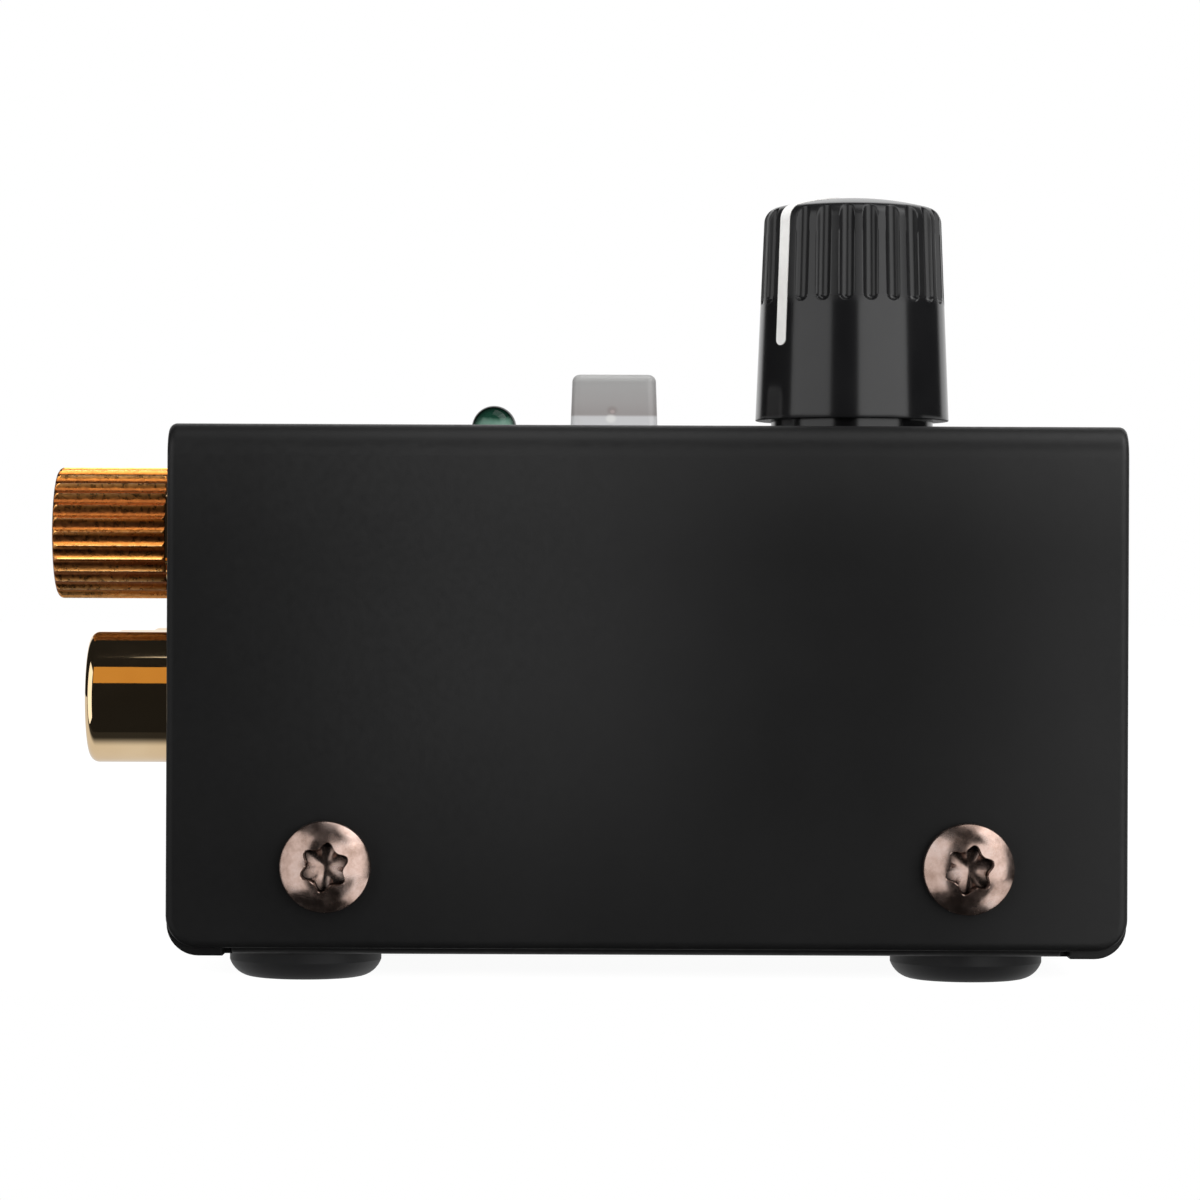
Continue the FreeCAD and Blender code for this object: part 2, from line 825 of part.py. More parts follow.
def lobed_prism(name, depth):
    """Six-lobe recess of a screw, as a prism: round lobes and hollow flutes in turn."""
    reach = value("screw_lobe_reach")
    hollow = value("screw_flute_radius")
    hollow_place = value("screw_flute_reach") + hollow
    turn_step = math.pi / 6
    # A lobe and the flute beside it touch, which fixes the lobe's radius and place.
    offset = hollow_place * math.cos(turn_step)
    lobe = (hollow_place ** 2 + reach ** 2 - 2 * reach * offset - hollow ** 2) / (
        2 * (reach + hollow - offset))
    lobe_place = reach - lobe

    def polar(distance, angle):
        return FreeCAD.Vector(distance * math.cos(angle), distance * math.sin(angle), 0)

    def meeting(lobe_angle, flute_angle):
        centre = polar(lobe_place, lobe_angle)
        towards = polar(hollow_place, flute_angle) - centre
        return centre + towards.normalize() * lobe
    edges = []
    for count in range(6):
        angle = count * 2 * turn_step
        before = meeting(angle, angle - turn_step)
        after = meeting(angle, angle + turn_step)
        following = meeting(angle + 2 * turn_step, angle + turn_step)
        flute = polar(hollow_place - hollow, angle + turn_step)
        edges.append(Part.Arc(before, polar(reach, angle), after).toShape())
        edges.append(Part.Arc(after, flute, following).toShape())
    item = doc.addObject("Part::Feature", name)
    item.Shape = Part.Face(Part.Wire(edges)).extrude(FreeCAD.Vector(0, 0, value(depth)))
    return item


def make_cover_screw(name, back):
    """One cover screw at the right-hand end, its head on the outside of the end plate."""
    body = new_body(name)
    floor = "screw_head_height - screw_lead_in_radius + screw_floor_radius"
    turn(body, [
        ("0", "-cover_screw_length"),
        ("cover_screw_radius - screw_tip_bevel", "-cover_screw_length"),
        ("cover_screw_radius", "-cover_screw_length + screw_tip_bevel"),
        ("cover_screw_radius", "0"),
        ("screw_head_radius", "0"),
        ("screw_head_radius", "screw_head_rim", "screw_dome_radius", 1),
        ("screw_lead_in_radius", "screw_head_height"),
        ("screw_floor_radius", floor),
        ("0", floor),
    ])
    rounded(body, "screw_rim_round", ring_at("screw_head_radius", "screw_head_rim"))
    place(body, "case_length / 2", back, "cover_screw_height", TO_RIGHT)
    recess = lobed_prism(name + "Recess", "screw_recess_depth")
    place(recess, "case_length / 2 + screw_head_height - screw_recess_depth",
          back, "cover_screw_height", TO_RIGHT)
    return cut(name + "Done", body, recess)


def make_cover_screws():
    right = [
        make_cover_screw("ScrewRear", "cover_screw_spacing / 2"),
        make_cover_screw("ScrewFront", "-cover_screw_spacing / 2"),
    ]
    left = [mirrored(screw.Name + "Left", screw) for screw in right]
    return kept(grouped("CoverScrews", right + left), "cover_screws")


def make_feet():
    """Four rubber feet stuck to the bottom, round at their lower edge."""
    for row, back in (("front", "foot_shift - foot_spacing / 2"),
                      ("rear", "foot_shift + foot_spacing / 2")):
        for side, across in (("left", "foot_inset - case_length / 2"),
                             ("right", "case_length / 2 - foot_inset")):
            body = new_body(f"Foot_{row}_{side}")
            turn(body, [
                ("0", "-foot_height"),
                ("foot_flat_radius", "-foot_height", "foot_curve_radius", 1),
                ("foot_radius", "foot_curve_height - foot_height"),
                ("foot_radius", "0"),
                ("0", "0"),
            ])
            place(kept(body, f"foot_{row}_{side}"), across, back)


# Level control

def knob_side(height):
    """Radius of the knob's tapering side at a height over its lower edge."""
    slope = "(knob_base_radius - knob_top_radius) / (knob_height - knob_dome_rise)"
    return f"(knob_base_radius - ({height}) * {slope})"


def knob_profile(swell, low):
    """The knob's outer form, swollen outwards by an amount, from a height up."""
    top = f"knob_top_radius + {swell}"
    corner = "knob_height - knob_dome_rise"
    dome = f"((({top}) ^ 2 + (knob_dome_rise + {swell}) ^ 2) / (2 * (knob_dome_rise + {swell})))"
    return [
        ("0", low),
        (f"{knob_side(low)} + {swell}", low),
        (top, corner, dome, 1),
        ("0", f"knob_height + {swell}"),
    ]


def turned_knob(name, swell, low):
    body = new_body(name)
    turn(body, knob_profile(swell, low))
    rounded(body, f"knob_shoulder_radius + {swell}",
            ring_at(f"knob_top_radius + {swell}", "knob_height - knob_dome_rise"))
    return body


def at_knob(item, up="0"):
    turned = FreeCAD.Rotation(FreeCAD.Vector(0, 0, 1), value("knob_rest_angle"))
    return place(item, "column_x", "knob_offset", up, turned)


def make_pointer():
    """White pointer let into the knob, from near the middle of its top down its side."""
    outer = turned_knob("PointerOuter", "pointer_proud", "pointer_end")
    inner = turned_knob("PointerInner", "-pointer_depth", "0")
    for item in (outer, inner):
        at_knob(item, "knob_z")
    skin = cut("PointerSkin", outer, inner)
    bar = new_body("PointerBar")
    half = "pointer_width / 2"
    bar_outline = [
        (f"-{half}", f"pointer_end + {half}", "pointer_end_radius", 1),
        (half, f"pointer_end + {half}"),
        (half, "knob_height * 2"),
        (f"-{half}", "knob_height * 2"),
    ]
    start = "-knob_base_radius * 2"
    pad(bar, outline(bar, "XZ_Plane", bar_outline, lift=start), "knob_base_radius * 2 - pointer_start")
    at_knob(bar, "knob_z")
    pointer = doc.addObject("Part::Common", "Pointer")
    pointer.Base = skin
    pointer.Tool = bar
    return kept(pointer, "level_knob_pointer")


def make_level_knob(pointer, shaft):
    """Moulded knob with a band of upright grooves round its upper half."""
    body = turned_knob("KnobBlank", "0", "0")
    rounded(body, "knob_edge_radius", ring_at("knob_base_radius", "0"))
    collar = body.newObject("PartDesign::AdditiveCylinder", "Collar")
    bind(collar, Radius="knob_collar_radius", Height="knob_collar_drop + knob_edge_radius")
    collar.setExpression("Placement.Base.z", bound("-knob_collar_drop"))
    doc.recompute()
    lean = math.degrees(math.atan2(
        value("knob_base_radius - knob_top_radius"), value("knob_height - knob_dome_rise")))
    first = 360 / value("groove_count")
    place_radius = f"{knob_side('groove_end')} + groove_radius - groove_depth"
    angle = math.radians(90 + first)
    turned = FreeCAD.Rotation(FreeCAD.Vector(0, 0, 1), 90 + first) * FreeCAD.Rotation(
        FreeCAD.Vector(0, 1, 0), -lean)
    tools = []
    for kind, name in (("PartDesign::SubtractiveCylinder", "Groove"),
                       ("PartDesign::SubtractiveSphere", "GrooveEnd")):
        tool = body.newObject(kind, name)
        tool.Placement = FreeCAD.Placement(FreeCAD.Vector(), turned)
        tool.setExpression("Placement.Base.x", bound(f"({place_radius}) * {math.cos(angle)}"))
        tool.setExpression("Placement.Base.y", bound(f"({place_radius}) * {math.sin(angle)}"))
        tool.setExpression("Placement.Base.z", bound("groove_end"))
        bind(tool, Radius="groove_radius")
        if name == "Groove":
            bind(tool, Height="knob_height")
        doc.recompute()
        tools.append(tool)
    around(body, tools, "groove_count - 1", "360 * (groove_count - 2) / groove_count")
    at_knob(body, "knob_z")
    return kept(cut("Knob", body, grouped("KnobTools", [pointer, shaft])), "level_knob")


def make_pot_shaft():
    """Long shaft with a flat at its top and a stub for the wiper at its foot."""
    body = new_body("Shaft")
    turn(body, [
        ("0", "wiper_z"),
        ("shaft_stub_radius", "wiper_z"),
        ("shaft_stub_radius", "wiper_z + wiper_thickness"),
        ("shaft_radius", "wiper_z + wiper_thickness"),
        ("shaft_radius", "shaft_top_z - shaft_chamfer"),
        ("shaft_radius - shaft_chamfer", "shaft_top_z"),
        ("0", "shaft_top_z"),
    ])
    flat = body.newObject("PartDesign::SubtractiveBox", "Flat")
    bind(flat, Length="shaft_radius * 2", Width="shaft_radius", Height="shaft_flat_length")
    flat.setExpression("Placement.Base.x", bound("-shaft_radius"))
    flat.setExpression("Placement.Base.y", bound("shaft_flat_height"))
    flat.setExpression("Placement.Base.z", bound("shaft_top_z - shaft_flat_length"))
    doc.recompute()
    return at_knob(kept(body, "level_pot_shaft"))


def make_pot_wiper():
    """Ring on the shaft's stub with two brushes that slide on the track."""
    body = new_body("Wiper")
    turn(body, [
        ("shaft_stub_radius", "wiper_z"),
        ("wiper_radius", "wiper_z"),
        ("wiper_radius", "wiper_z + wiper_thickness"),
        ("shaft_stub_radius", "wiper_z + wiper_thickness"),
    ])
    for side in (-1, 1):
        brush = body.newObject("PartDesign::AdditiveBox", "Brush")
        bind(brush, Length="brush_width", Width="brush_width",
             Height="wiper_lift - brush_gap + wiper_thickness / 2")
        brush.setExpression("Placement.Base.x", bound(f"{side} * brush_reach - brush_width / 2"))
        brush.setExpression("Placement.Base.y", bound("-brush_width / 2"))
        brush.setExpression("Placement.Base.z", bound("wiper_z - wiper_lift + brush_gap"))
        doc.recompute()
    return at_knob(kept(body, "level_pot_wiper"))


def pot_pins():
    return [(f"column_x + ({step}) * pot_pin_pitch", f"knob_offset + ({row}) * pot_pin_row / 2")
            for step in (-1, 0, 1) for row in (-1, 1)]


def make_pot_housing():
    """Box open at its foot, where the track closes it, with the shaft's hole in its roof."""
    wall = "2 * pot_wall"
    outside = middle_box("PotOutside", "column_x", "knob_offset", "board_top",
                         "pot_width", "pot_depth", "pot_height")
    inside = middle_box("PotInside", "column_x", "knob_offset", "board_top",
                        f"pot_width - {wall}", f"pot_depth - {wall}", "pot_height - pot_roof")
    hole = rod("PotHole", "column_x", "knob_offset", "board_top", "shaft_radius + pot_roof_gap",
               "pot_height * 2")
    kept(cut("PotHousing", outside, grouped("PotHollow", [inside, hole])), "level_pot_housing")
    kept(middle_box("PotTrack", "column_x", "knob_offset", "board_top",
                    f"pot_width - {wall}", f"pot_depth - {wall}", "pot_track_thickness"),
         "level_pot_track")


def make_pot_bushing():
    body = new_body("Bushing")
    inside = "shaft_radius + running_gap"
    turn(body, [
        (inside, "0"),
        ("bushing_flange_radius", "0"),
        ("bushing_flange_radius", "bushing_flange_thickness"),
        ("bushing_radius", "bushing_flange_thickness"),
        ("bushing_radius", "bushing_length"),
        (inside, "bushing_length"),
    ])
    rounded(body, "thread_bevel", ring_at("bushing_radius", "bushing_length"),
            "PartDesign::Chamfer")
    place(kept(body, "level_pot_bushing"), "column_x", "knob_offset", "board_top + pot_height")


def solder_pins(name, spots):
    """Round pins from below the board up to the piece that stands on it."""
    return [rod(f"{name}Pin", across, back, "pin_z", "pin_radius", "pin_height")
            for across, back in spots]


def make_level_control():
    shaft = make_pot_shaft()
    pointer = make_pointer()
    make_level_knob(pointer, shaft)
    make_pot_wiper()
    make_pot_housing()
    make_pot_bushing()
    kept(grouped("PotTerminals", solder_pins("Pot", pot_pins())), "level_pot_terminals")


# Power button

def make_button_cap(plunger):
    """Long square cap, straight below the case's top and drafted above it."""
    body = new_body("Cap")
    half = "button_width / 2"
    square = rectangle(f"-{half}", half, f"-{half}", half)
    pad(body, outline(body, "XY_Plane", square), "case_height - cap_z")
    head = outline(body, "XY_Plane", square, lift="case_height - cap_z")
    pad(body, head, "button_lift", draft="-button_draft")
    low = value("case_height - cap_z")
    high = value("case_height - cap_z + button_lift")

    def upright(edge):
        box = edge.BoundBox
        return box.ZLength > value("button_lift") / 2

    def top_rim(edge):
        return near(edge.BoundBox.ZMin, high)
    if body.Shape.BoundBox.XMax > value("button_width") / 2 + 0.001:
        raise ValueError("the cap's draft opens outwards")
    rounded(body, "button_corner_radius", upright)
    rounded(body, "button_top_radius", top_rim)
    place(body, "column_x", "button_offset", "cap_z")
    return kept(cut("ButtonCap", body, plunger), "power_button_cap")


def make_plunger():
    stem = middle_box("Stem", "column_x", "button_offset", "plunger_flange_z",
                      "plunger_width", "plunger_width", "plunger_top - plunger_flange_z")
    flange = middle_box("StemFlange", "column_x", "button_offset", "plunger_flange_z",
                        "plunger_flange_width", "plunger_flange_width",
                        "plunger_flange_thickness")
    guide = rod("StemGuide", "column_x", "button_offset", "plunger_flange_z - plunger_pin_length",
                "plunger_pin_radius", "plunger_pin_length + plunger_flange_thickness")
    return kept(fused("Plunger", [stem, flange, guide]), "power_switch_plunger")


def make_switch_housing():
    outside = middle_box("SwitchOutside", "column_x", "button_offset", "board_top",
                         "switch_width", "switch_width", "switch_height")
    hollow = "switch_width - 2 * switch_wall"
    inside = middle_box("SwitchInside", "column_x", "button_offset", "chamber_z",
                        hollow, hollow, "switch_roof_z - chamber_z")
    opening = "plunger_width + 2 * plunger_gap"
    slot = middle_box("SwitchSlot", "column_x", "button_offset", "chamber_z",
                      opening, opening, "switch_height")
    kept(cut("SwitchHousing", outside, grouped("SwitchHollow", [inside, slot])),
         "power_switch_housing")


def make_switch_spring():
    """Coil spring between the switch's floor and the plunger's flange."""
    wire = value("spring_wire_radius")
    radius = value("spring_radius")
    height = value("plunger_flange_z - chamber_z") - 2 * wire
    turns = int(value("spring_turns"))
    steps = 4 * turns
    points = []
    for step in range(2 * steps + 1):
        angle = step * math.pi / 4
        points.append(FreeCAD.Vector(
            radius * math.cos(angle), radius * math.sin(angle), wire + height * step / (2 * steps)))
    arcs = [Part.Arc(points[2 * n], points[2 * n + 1], points[2 * n + 2]).toShape()
            for n in range(steps)]
    section = Part.Wire([Part.Circle(points[0], FreeCAD.Vector(0, 1, 0), wire).toShape()])
    coil = Part.Wire(arcs).makePipeShell([section], True, False)
    item = doc.addObject("Part::Feature", "Spring")
    item.Shape = coil
    length = turns * math.hypot(2 * math.pi * radius, height / turns)
    print("spring volume", round(coil.Volume, 3), "of", round(math.pi * wire ** 2 * length, 3),
          "gap between turns", round(height / turns - 2 * wire, 3))
    return place(kept(item, "power_switch_spring"), "column_x", "button_offset", "chamber_z")


def switch_pins():
    return [(f"column_x + ({row}) * switch_pin_row", f"button_offset + ({step}) * switch_pin_pitch")
            for row in (-1, 1) for step in (-1, 0, 1)]


def make_power_button():
    plunger = make_plunger()
    make_button_cap(plunger)
    make_switch_housing()
    make_switch_spring()
    kept(grouped("SwitchTerminals", solder_pins("Switch", switch_pins())),
         "power_switch_terminals")


# Power light

def led_lead_places():
    return [(f"column_x + ({side}) * led_lead_pitch / 2", "led_offset") for side in (-1, 1)]


def make_led_leads():
    """Two square leads, one with the cup and one with the post that lie in the lens."""
    leads = []
    heads = (("Cup", "led_cup_width"), ("Post", "led_post_width"))
    for (name, width), (across, back), side in zip(heads, led_lead_places(), (1, -1)):
        stem = middle_box(f"Led{name}Stem", across, back, "pin_z", "led_lead_width",
                          "led_lead_width", "led_z + led_frame_height - led_cup_height - pin_z")
        head = middle_box(
            f"Led{name}Head", f"{across} + ({side}) * ({width} - led_lead_width) / 2", back,
            "led_z + led_frame_height - led_cup_height", width, "led_cup_depth",
            "led_cup_height")
        leads.append(fused(f"Led{name}", [stem, head]))
    return kept(grouped("LedLeads", leads), "power_led_leads")


def make_power_light():
    leads = make_led_leads()
    lens = new_body("Lens")
    turn(lens, [
        ("0", "0"),
        ("led_flange_radius", "0"),
        ("led_flange_radius", "led_flange_height"),
        ("led_radius", "led_flange_height"),
        ("led_radius", "led_length - led_radius", "led_radius", 1),
        ("0", "led_length"),
    ])
    place(lens, "column_x", "led_offset", "led_z")
    kept(cut("LedLens", lens, leads), "power_led_lens")
    tube = rod("SpacerTube", "column_x", "led_offset", "board_top", "led_spacer_radius",
               "led_z - board_top")
    bore = "led_lead_width + 2 * led_lead_bore_gap"
    bores = [middle_box("SpacerBore", across, back, "board_z", bore, bore, "case_height")
             for across, back in led_lead_places()]
    kept(cut("LedSpacer", tube, grouped("SpacerBores", bores)), "power_led_spacer")


# Phono jacks

def make_shell(name, across):
    """Plated barrel with a flange against the block, a shoulder in the wall and a solder tail."""
    body = new_body(name + "Barrel")
    flange = "shell_seat + shell_flange_thickness"
    shoulder = "rear_y + shell_shoulder_reach - shell_start_y"
    length = "shell_end_y - shell_start_y"
    turn(body, [
        ("shell_bore_radius", "0"),
        ("shell_radius", "0"),
        ("shell_radius", "shell_seat"),
        ("shell_flange_radius", "shell_seat"),
        ("shell_flange_radius", flange),
        ("shell_shoulder_radius", flange),
        ("shell_shoulder_radius", shoulder),
        ("shell_radius", shoulder),
        ("shell_radius", length),
        ("shell_bore_radius", length),
    ])
    rounded(body, "shell_mouth_radius", ring_at("shell_radius", length))
    place(body, across, "shell_start_y", "jack_z", TO_REAR)
    tail = middle_box(name + "Tail", across, "shell_start_y + shell_seat / 2", "pin_z",
                      "shell_tail_width", "tail_thickness",
                      "jack_z - shell_radius + shell_wall / 2 - pin_z")
    return fused(name + "Shell", [body, tail])


def contact_back():
    return "block_front_y - block_depth - tail_thickness"


def make_center_contact(name, across):
    """Tube that takes the plug's pin, with a tail behind the block."""
    tube = new_body(name + "Tube")
    front = "shell_end_y - insulator_recess - insulator_lip"
    length = f"{front} - ({contact_back()})"
    turn(tube, [
        ("contact_bore_radius", "tail_thickness"),
        ("contact_bore_radius", length),
        ("contact_radius", length),
        ("contact_radius", "0"),
        ("0", "0"),
        ("0", "tail_thickness"),
    ])
    place(tube, across, contact_back(), "jack_z", TO_REAR)
    tail = corner_box(name + "ContactTail", f"{across} - shell_tail_width / 2", contact_back(),
                    "pin_z", "shell_tail_width", "tail_thickness", "jack_z - contact_radius / 2 - pin_z")
    return fused(name + "Contact", [tube, tail])


def make_insulator(name, across, contact):
    """Coloured insert that fills the barrel round the pin's hole."""
    body = new_body(name + "Insert")
    length = "shell_end_y - insulator_recess - shell_start_y"
    turn(body, [
        ("insulator_bore_radius", "0"),
        ("shell_bore_radius", "0"),
        ("shell_bore_radius", length),
        ("insulator_bore_radius", length),
    ])
    rounded(body, "insulator_edge_radius", ring_at("shell_bore_radius", length))
    place(body, across, "shell_start_y", "jack_z", TO_REAR)
    return cut(name + "Insulator", body, contact)


def make_jack_pair(prefix, middle):
    """Two barrels in one moulded block."""
    set_in = []
    contacts = []
    for side in ("left", "right"):
        name = f"{prefix}_{side}"
        across = jack_places()[name]
        contact = make_center_contact(name, across)
        set_in.append(kept(make_shell(name, across), f"{name}_shell"))
        set_in.append(kept(make_insulator(name, across, contact), f"{name}_insulator"))
        set_in.append(rod(name + "Way", across, contact_back(), "jack_z", "contact_radius",
                          "block_depth + 2 * tail_thickness", TO_REAR))
        contacts.append(contact)
    kept(grouped(f"{prefix}Contacts", contacts), f"{prefix}_center_contacts")
    blank = middle_box(f"{prefix}Blank", middle, "block_front_y - block_depth / 2", "board_top",
                       "jack_pitch + 2 * block_side", "block_depth",
                       "block_roof_z - board_top")
    kept(cut(f"{prefix}Block", blank, grouped(f"{prefix}Fills", set_in)),
         f"{prefix}_jack_block")


def jack_tail_spots():
    """Board holes for the tails of the phono jacks."""
    spots = []
    for across in jack_places().values():
        spots.append((across, "shell_start_y + shell_seat / 2"))
        spots.append((across, f"{contact_back()} + tail_thickness / 2"))
    return spots


# Quarter-inch jack

def trs_contact_spots():
    """Three contacts, on one side of the bore and the other in turn."""
    reach = "(trs_bore_radius + trs_contact_gap + tail_thickness / 2)"
    return [(f"trs_x + ({side}) * {reach}", f"rear_inner_y - trs_contact_pitch * {step}")
            for step, side in ((1, 1), (2, -1), (3, 1))]


def make_trs_jack():
    contacts = []
    windows = []
    for across, back in trs_contact_spots():
        contacts.append(middle_box("TrsContact", across, back, "pin_z", "tail_thickness",
                                   "trs_contact_width",
                                   "jack_z + trs_contact_height / 2 - pin_z"))
        windows.append(middle_box("TrsWindow", f"(({across}) + trs_x) / 2", back,
                                  "jack_z - trs_window_width / 2",
                                  "trs_bore_radius + trs_contact_gap", "trs_window_width",
                                  "trs_window_width"))
    contact_group = kept(grouped("TrsContacts", contacts), "trs_jack_contacts")
    nose = new_body("TrsNose")
    length = "trs_nose_seat + sheet + trs_nose_reach"
    turn(nose, [
        ("trs_bore_radius", "0"),
        ("trs_nose_radius", "0"),
        ("trs_nose_radius", length),
        ("trs_bore_radius", length),
    ])
    rounded(nose, "thread_bevel", ring_at("trs_nose_radius", length), "PartDesign::Chamfer")
    rounded(nose, "thread_bevel", ring_at("trs_bore_radius", length), "PartDesign::Chamfer")
    place(kept(nose, "trs_jack_nose"), "trs_x", "rear_inner_y - trs_nose_seat", "jack_z",
          TO_REAR)
    bore = rod("TrsBore", "trs_x", "rear_inner_y - trs_depth - sheet", "jack_z",
               "trs_bore_radius", "trs_depth + 2 * sheet", TO_REAR)
    blank = middle_box("TrsBlank", "trs_x", "rear_inner_y - trs_depth / 2", "board_top",
                       "trs_width", "trs_depth", "trs_height")
    bored = cut("TrsBored", blank, grouped("TrsHollow", [bore, nose, contact_group]))
    kept(cut("TrsBody", bored, grouped("TrsWindows", windows)), "trs_jack_body")
    washer = new_body("TrsWasher")
    turn(washer, [
        ("trs_nose_radius + trs_hole_gap", "0"),
        ("trs_washer_radius", "0"),
        ("trs_washer_radius", "trs_washer_thickness"),
        ("trs_nose_radius + trs_hole_gap", "trs_washer_thickness"),
    ])
    place(kept(washer, "trs_jack_washer"), "trs_x", "rear_y", "jack_z", TO_REAR)
    kept(hex_nut("TrsNut", "trs_nut_width", "trs_nut_thickness", "trs_nose_radius + thread_gap",
                 "trs_x", "rear_y + trs_washer_thickness", "jack_z"), "trs_jack_nut")


def hex_nut(name, width, thickness, bore, across, back, up):
    """Six-sided nut about a line that runs to the rear, its outer corners bevelled."""
    prism = doc.addObject("Part::Prism", name + "Prism")
    prism.Polygon = 6
    corner = f"({width}) / {math.sqrt(3)}"
    bind(prism, Circumradius=corner, Height=thickness)
    place(prism, across, back, up, TO_REAR)
    bevel = doc.addObject("Part::Cone", name + "Bevel")
    bind(bevel, Radius1=f"{corner} + ({thickness}) * nut_bevel_slope",
         Radius2=f"({width}) * nut_face_share", Height=thickness)
    place(bevel, across, back, up, TO_REAR)
    trimmed = doc.addObject("Part::Common", name + "Trimmed")
    trimmed.Base = prism
    trimmed.Tool = bevel
    hole = rod(name + "Hole", across, f"{back} - ({thickness})", up, bore, f"3 * ({thickness})",
               TO_REAR)
    return cut(name, trimmed, hole)


# Power inlet

def dc_tail_spots():
    """Board holes for the inlet's pin and contact."""
    return [
        ("dc_x", "rear_y - dc_depth - tail_thickness / 2"),
        ("dc_x", "rear_y - dc_socket_depth / 2"),
    ]


def make_dc_jack():
    back = "rear_y - dc_depth - tail_thickness"
    pin_rod = new_body("DcPin")
    length = f"rear_y - dc_pin_recess - ({back})"
    turn(pin_rod, [
        ("0", "0"),
        ("dc_pin_radius", "0"),
        ("dc_pin_radius", f"{length} - dc_pin_radius", "dc_pin_radius", 1),
        ("0", length),
    ])
    place(pin_rod, "dc_x", back, "dc_z", TO_REAR)
    pin_tail = corner_box("DcPinTail", "dc_x - shell_tail_width / 2", back, "pin_z",
                        "shell_tail_width", "tail_thickness", "dc_z - pin_z")
    pin = kept(fused("DcCentre", [pin_rod, pin_tail]), "dc_jack_center_pin")
    leaf = middle_box("DcLeaf", "dc_x", "rear_y - dc_socket_depth / 2",
                      "dc_z - dc_socket_radius - dc_contact_thickness / 2", "dc_contact_width",
                      "dc_contact_length", "dc_contact_thickness")
    leaf_tail = middle_box("DcLeafTail", "dc_x", "rear_y - dc_socket_depth / 2", "pin_z",
                           "shell_tail_width", "tail_thickness",
                           "dc_z - dc_socket_radius - pin_z")
    leaf_part = kept(fused("DcContact", [leaf, leaf_tail]), "dc_jack_contact")
    blank = middle_box("DcBlank", "dc_x", "rear_y - dc_depth / 2", "board_top",
                       "dc_width", "dc_depth", "dc_height")
    socket = rod("DcSocket", "dc_x", "rear_y - dc_socket_depth", "dc_z",
                 "dc_socket_radius", "dc_socket_depth + sheet", TO_REAR)
    kept(cut("DcBody", blank, grouped("DcHollow", [socket, pin, leaf_part])), "dc_jack_body")


# Ground post

def make_ground_stud():
    """Plated stud with a flange outside the rear wall."""
    body = new_body("Stud")
    inner = "lug_thickness + inner_nut_thickness + stud_inner_end + sheet"
    outer = "post_reach - stud_recess"
    turn(body, [
        ("0", f"-({inner})"),
        ("stud_radius", f"-({inner})"),
        ("stud_radius", "0"),
        ("stud_flange_radius", "0"),
        ("stud_flange_radius", "stud_flange_thickness"),
        ("stud_radius", "stud_flange_thickness"),
        ("stud_radius", f"{outer} - thread_bevel"),
        ("stud_radius - thread_bevel", outer),
        ("0", outer),
    ])
    place(kept(body, "ground_stud"), "input_x", "rear_y", "post_height", TO_REAR)


def make_thumb_nut():
    """Round nut with a straight knurl over its whole length."""
    body = new_body("ThumbNut")
    bore = "stud_radius + running_gap"
    turn(body, [
        (bore, "0"),
        ("thumb_nut_radius", "0"),
        ("thumb_nut_radius", "thumb_nut_length"),
        (bore, "thumb_nut_length"),
    ])
    rounded(body, "thumb_nut_round", ring_at("thumb_nut_radius", "thumb_nut_length"))
    rounded(body, "thumb_nut_round", ring_at("thumb_nut_radius", "0"))
    rounded(body, "thread_bevel", ring_at(bore, "thumb_nut_length"), "PartDesign::Chamfer")
    groove = body.newObject("PartDesign::SubtractiveCylinder", "KnurlGroove")
    bind(groove, Radius="knurl_radius", Height="thumb_nut_length * 2")
    groove.setExpression("Placement.Base.x", bound("thumb_nut_radius + knurl_radius - knurl_depth"))
    groove.setExpression("Placement.Base.z", bound("-thumb_nut_length / 2"))
    doc.recompute()
    around(body, [groove], "knurl_count", "360")
    place(kept(body, "ground_thumb_nut"), "input_x",
          "rear_y + stud_flange_thickness + post_washer_thickness + thumb_nut_seat_gap",
          "post_height", TO_REAR)


def make_ground_washer():
    body = new_body("PostWasher")
    bore = "stud_radius + post_washer_gap"
    turn(body, [
        (bore, "0"),
        ("post_washer_radius", "0"),
        ("post_washer_radius", "post_washer_thickness"),
        (bore, "post_washer_thickness"),
    ])
    place(kept(body, "ground_clamp_washer"), "input_x", "rear_y + stud_flange_thickness",
          "post_height", TO_REAR)


def make_ground_lug():
    """Ring inside the rear wall with a tab for the wire."""
    ring = rod("LugRing", "input_x", "post_inner_y", "post_height", "lug_radius",
               "lug_thickness", TO_REAR)
    tab = corner_box("LugTab", "input_x", "post_inner_y", "post_height - lug_tab_width / 2",
                   "lug_tab_reach", "lug_thickness", "lug_tab_width")
    hole = rod("LugHole", "input_x", "post_inner_y - lug_thickness", "post_height",
               "stud_radius + stud_hole_gap", "3 * lug_thickness", TO_REAR)
    kept(cut("Lug", fused("LugBlank", [ring, tab]), hole), "ground_lug")


def make_ground_wire():
    """Wire from the lug forwards over the jacks and down to the board."""
    across = "input_x + lug_tab_reach - lug_tab_width / 2"
    down_y = "post_inner_y - ground_wire_run"
    level = rod("WireLevel", across, f"{down_y} + ground_wire_bend", "post_height",
                "ground_wire_radius", "ground_wire_run - ground_wire_bend", TO_REAR)
    bend = doc.addObject("Part::Torus", "WireBend")
    bind(bend, Radius1="ground_wire_bend", Radius2="ground_wire_radius", Angle3="90")
    turned = FreeCAD.Rotation(
        FreeCAD.Vector(0, -1, 0), FreeCAD.Vector(0, 0, 1), FreeCAD.Vector(-1, 0, 0), "ZXY")
    place(bend, across, f"{down_y} + ground_wire_bend", "post_height - ground_wire_bend", turned)
    drop = rod("WireDrop", across, down_y, "board_top", "ground_wire_radius",
               "post_height - ground_wire_bend - board_top")
    kept(fused("GroundWire", [level, bend, drop]), "ground_wire")


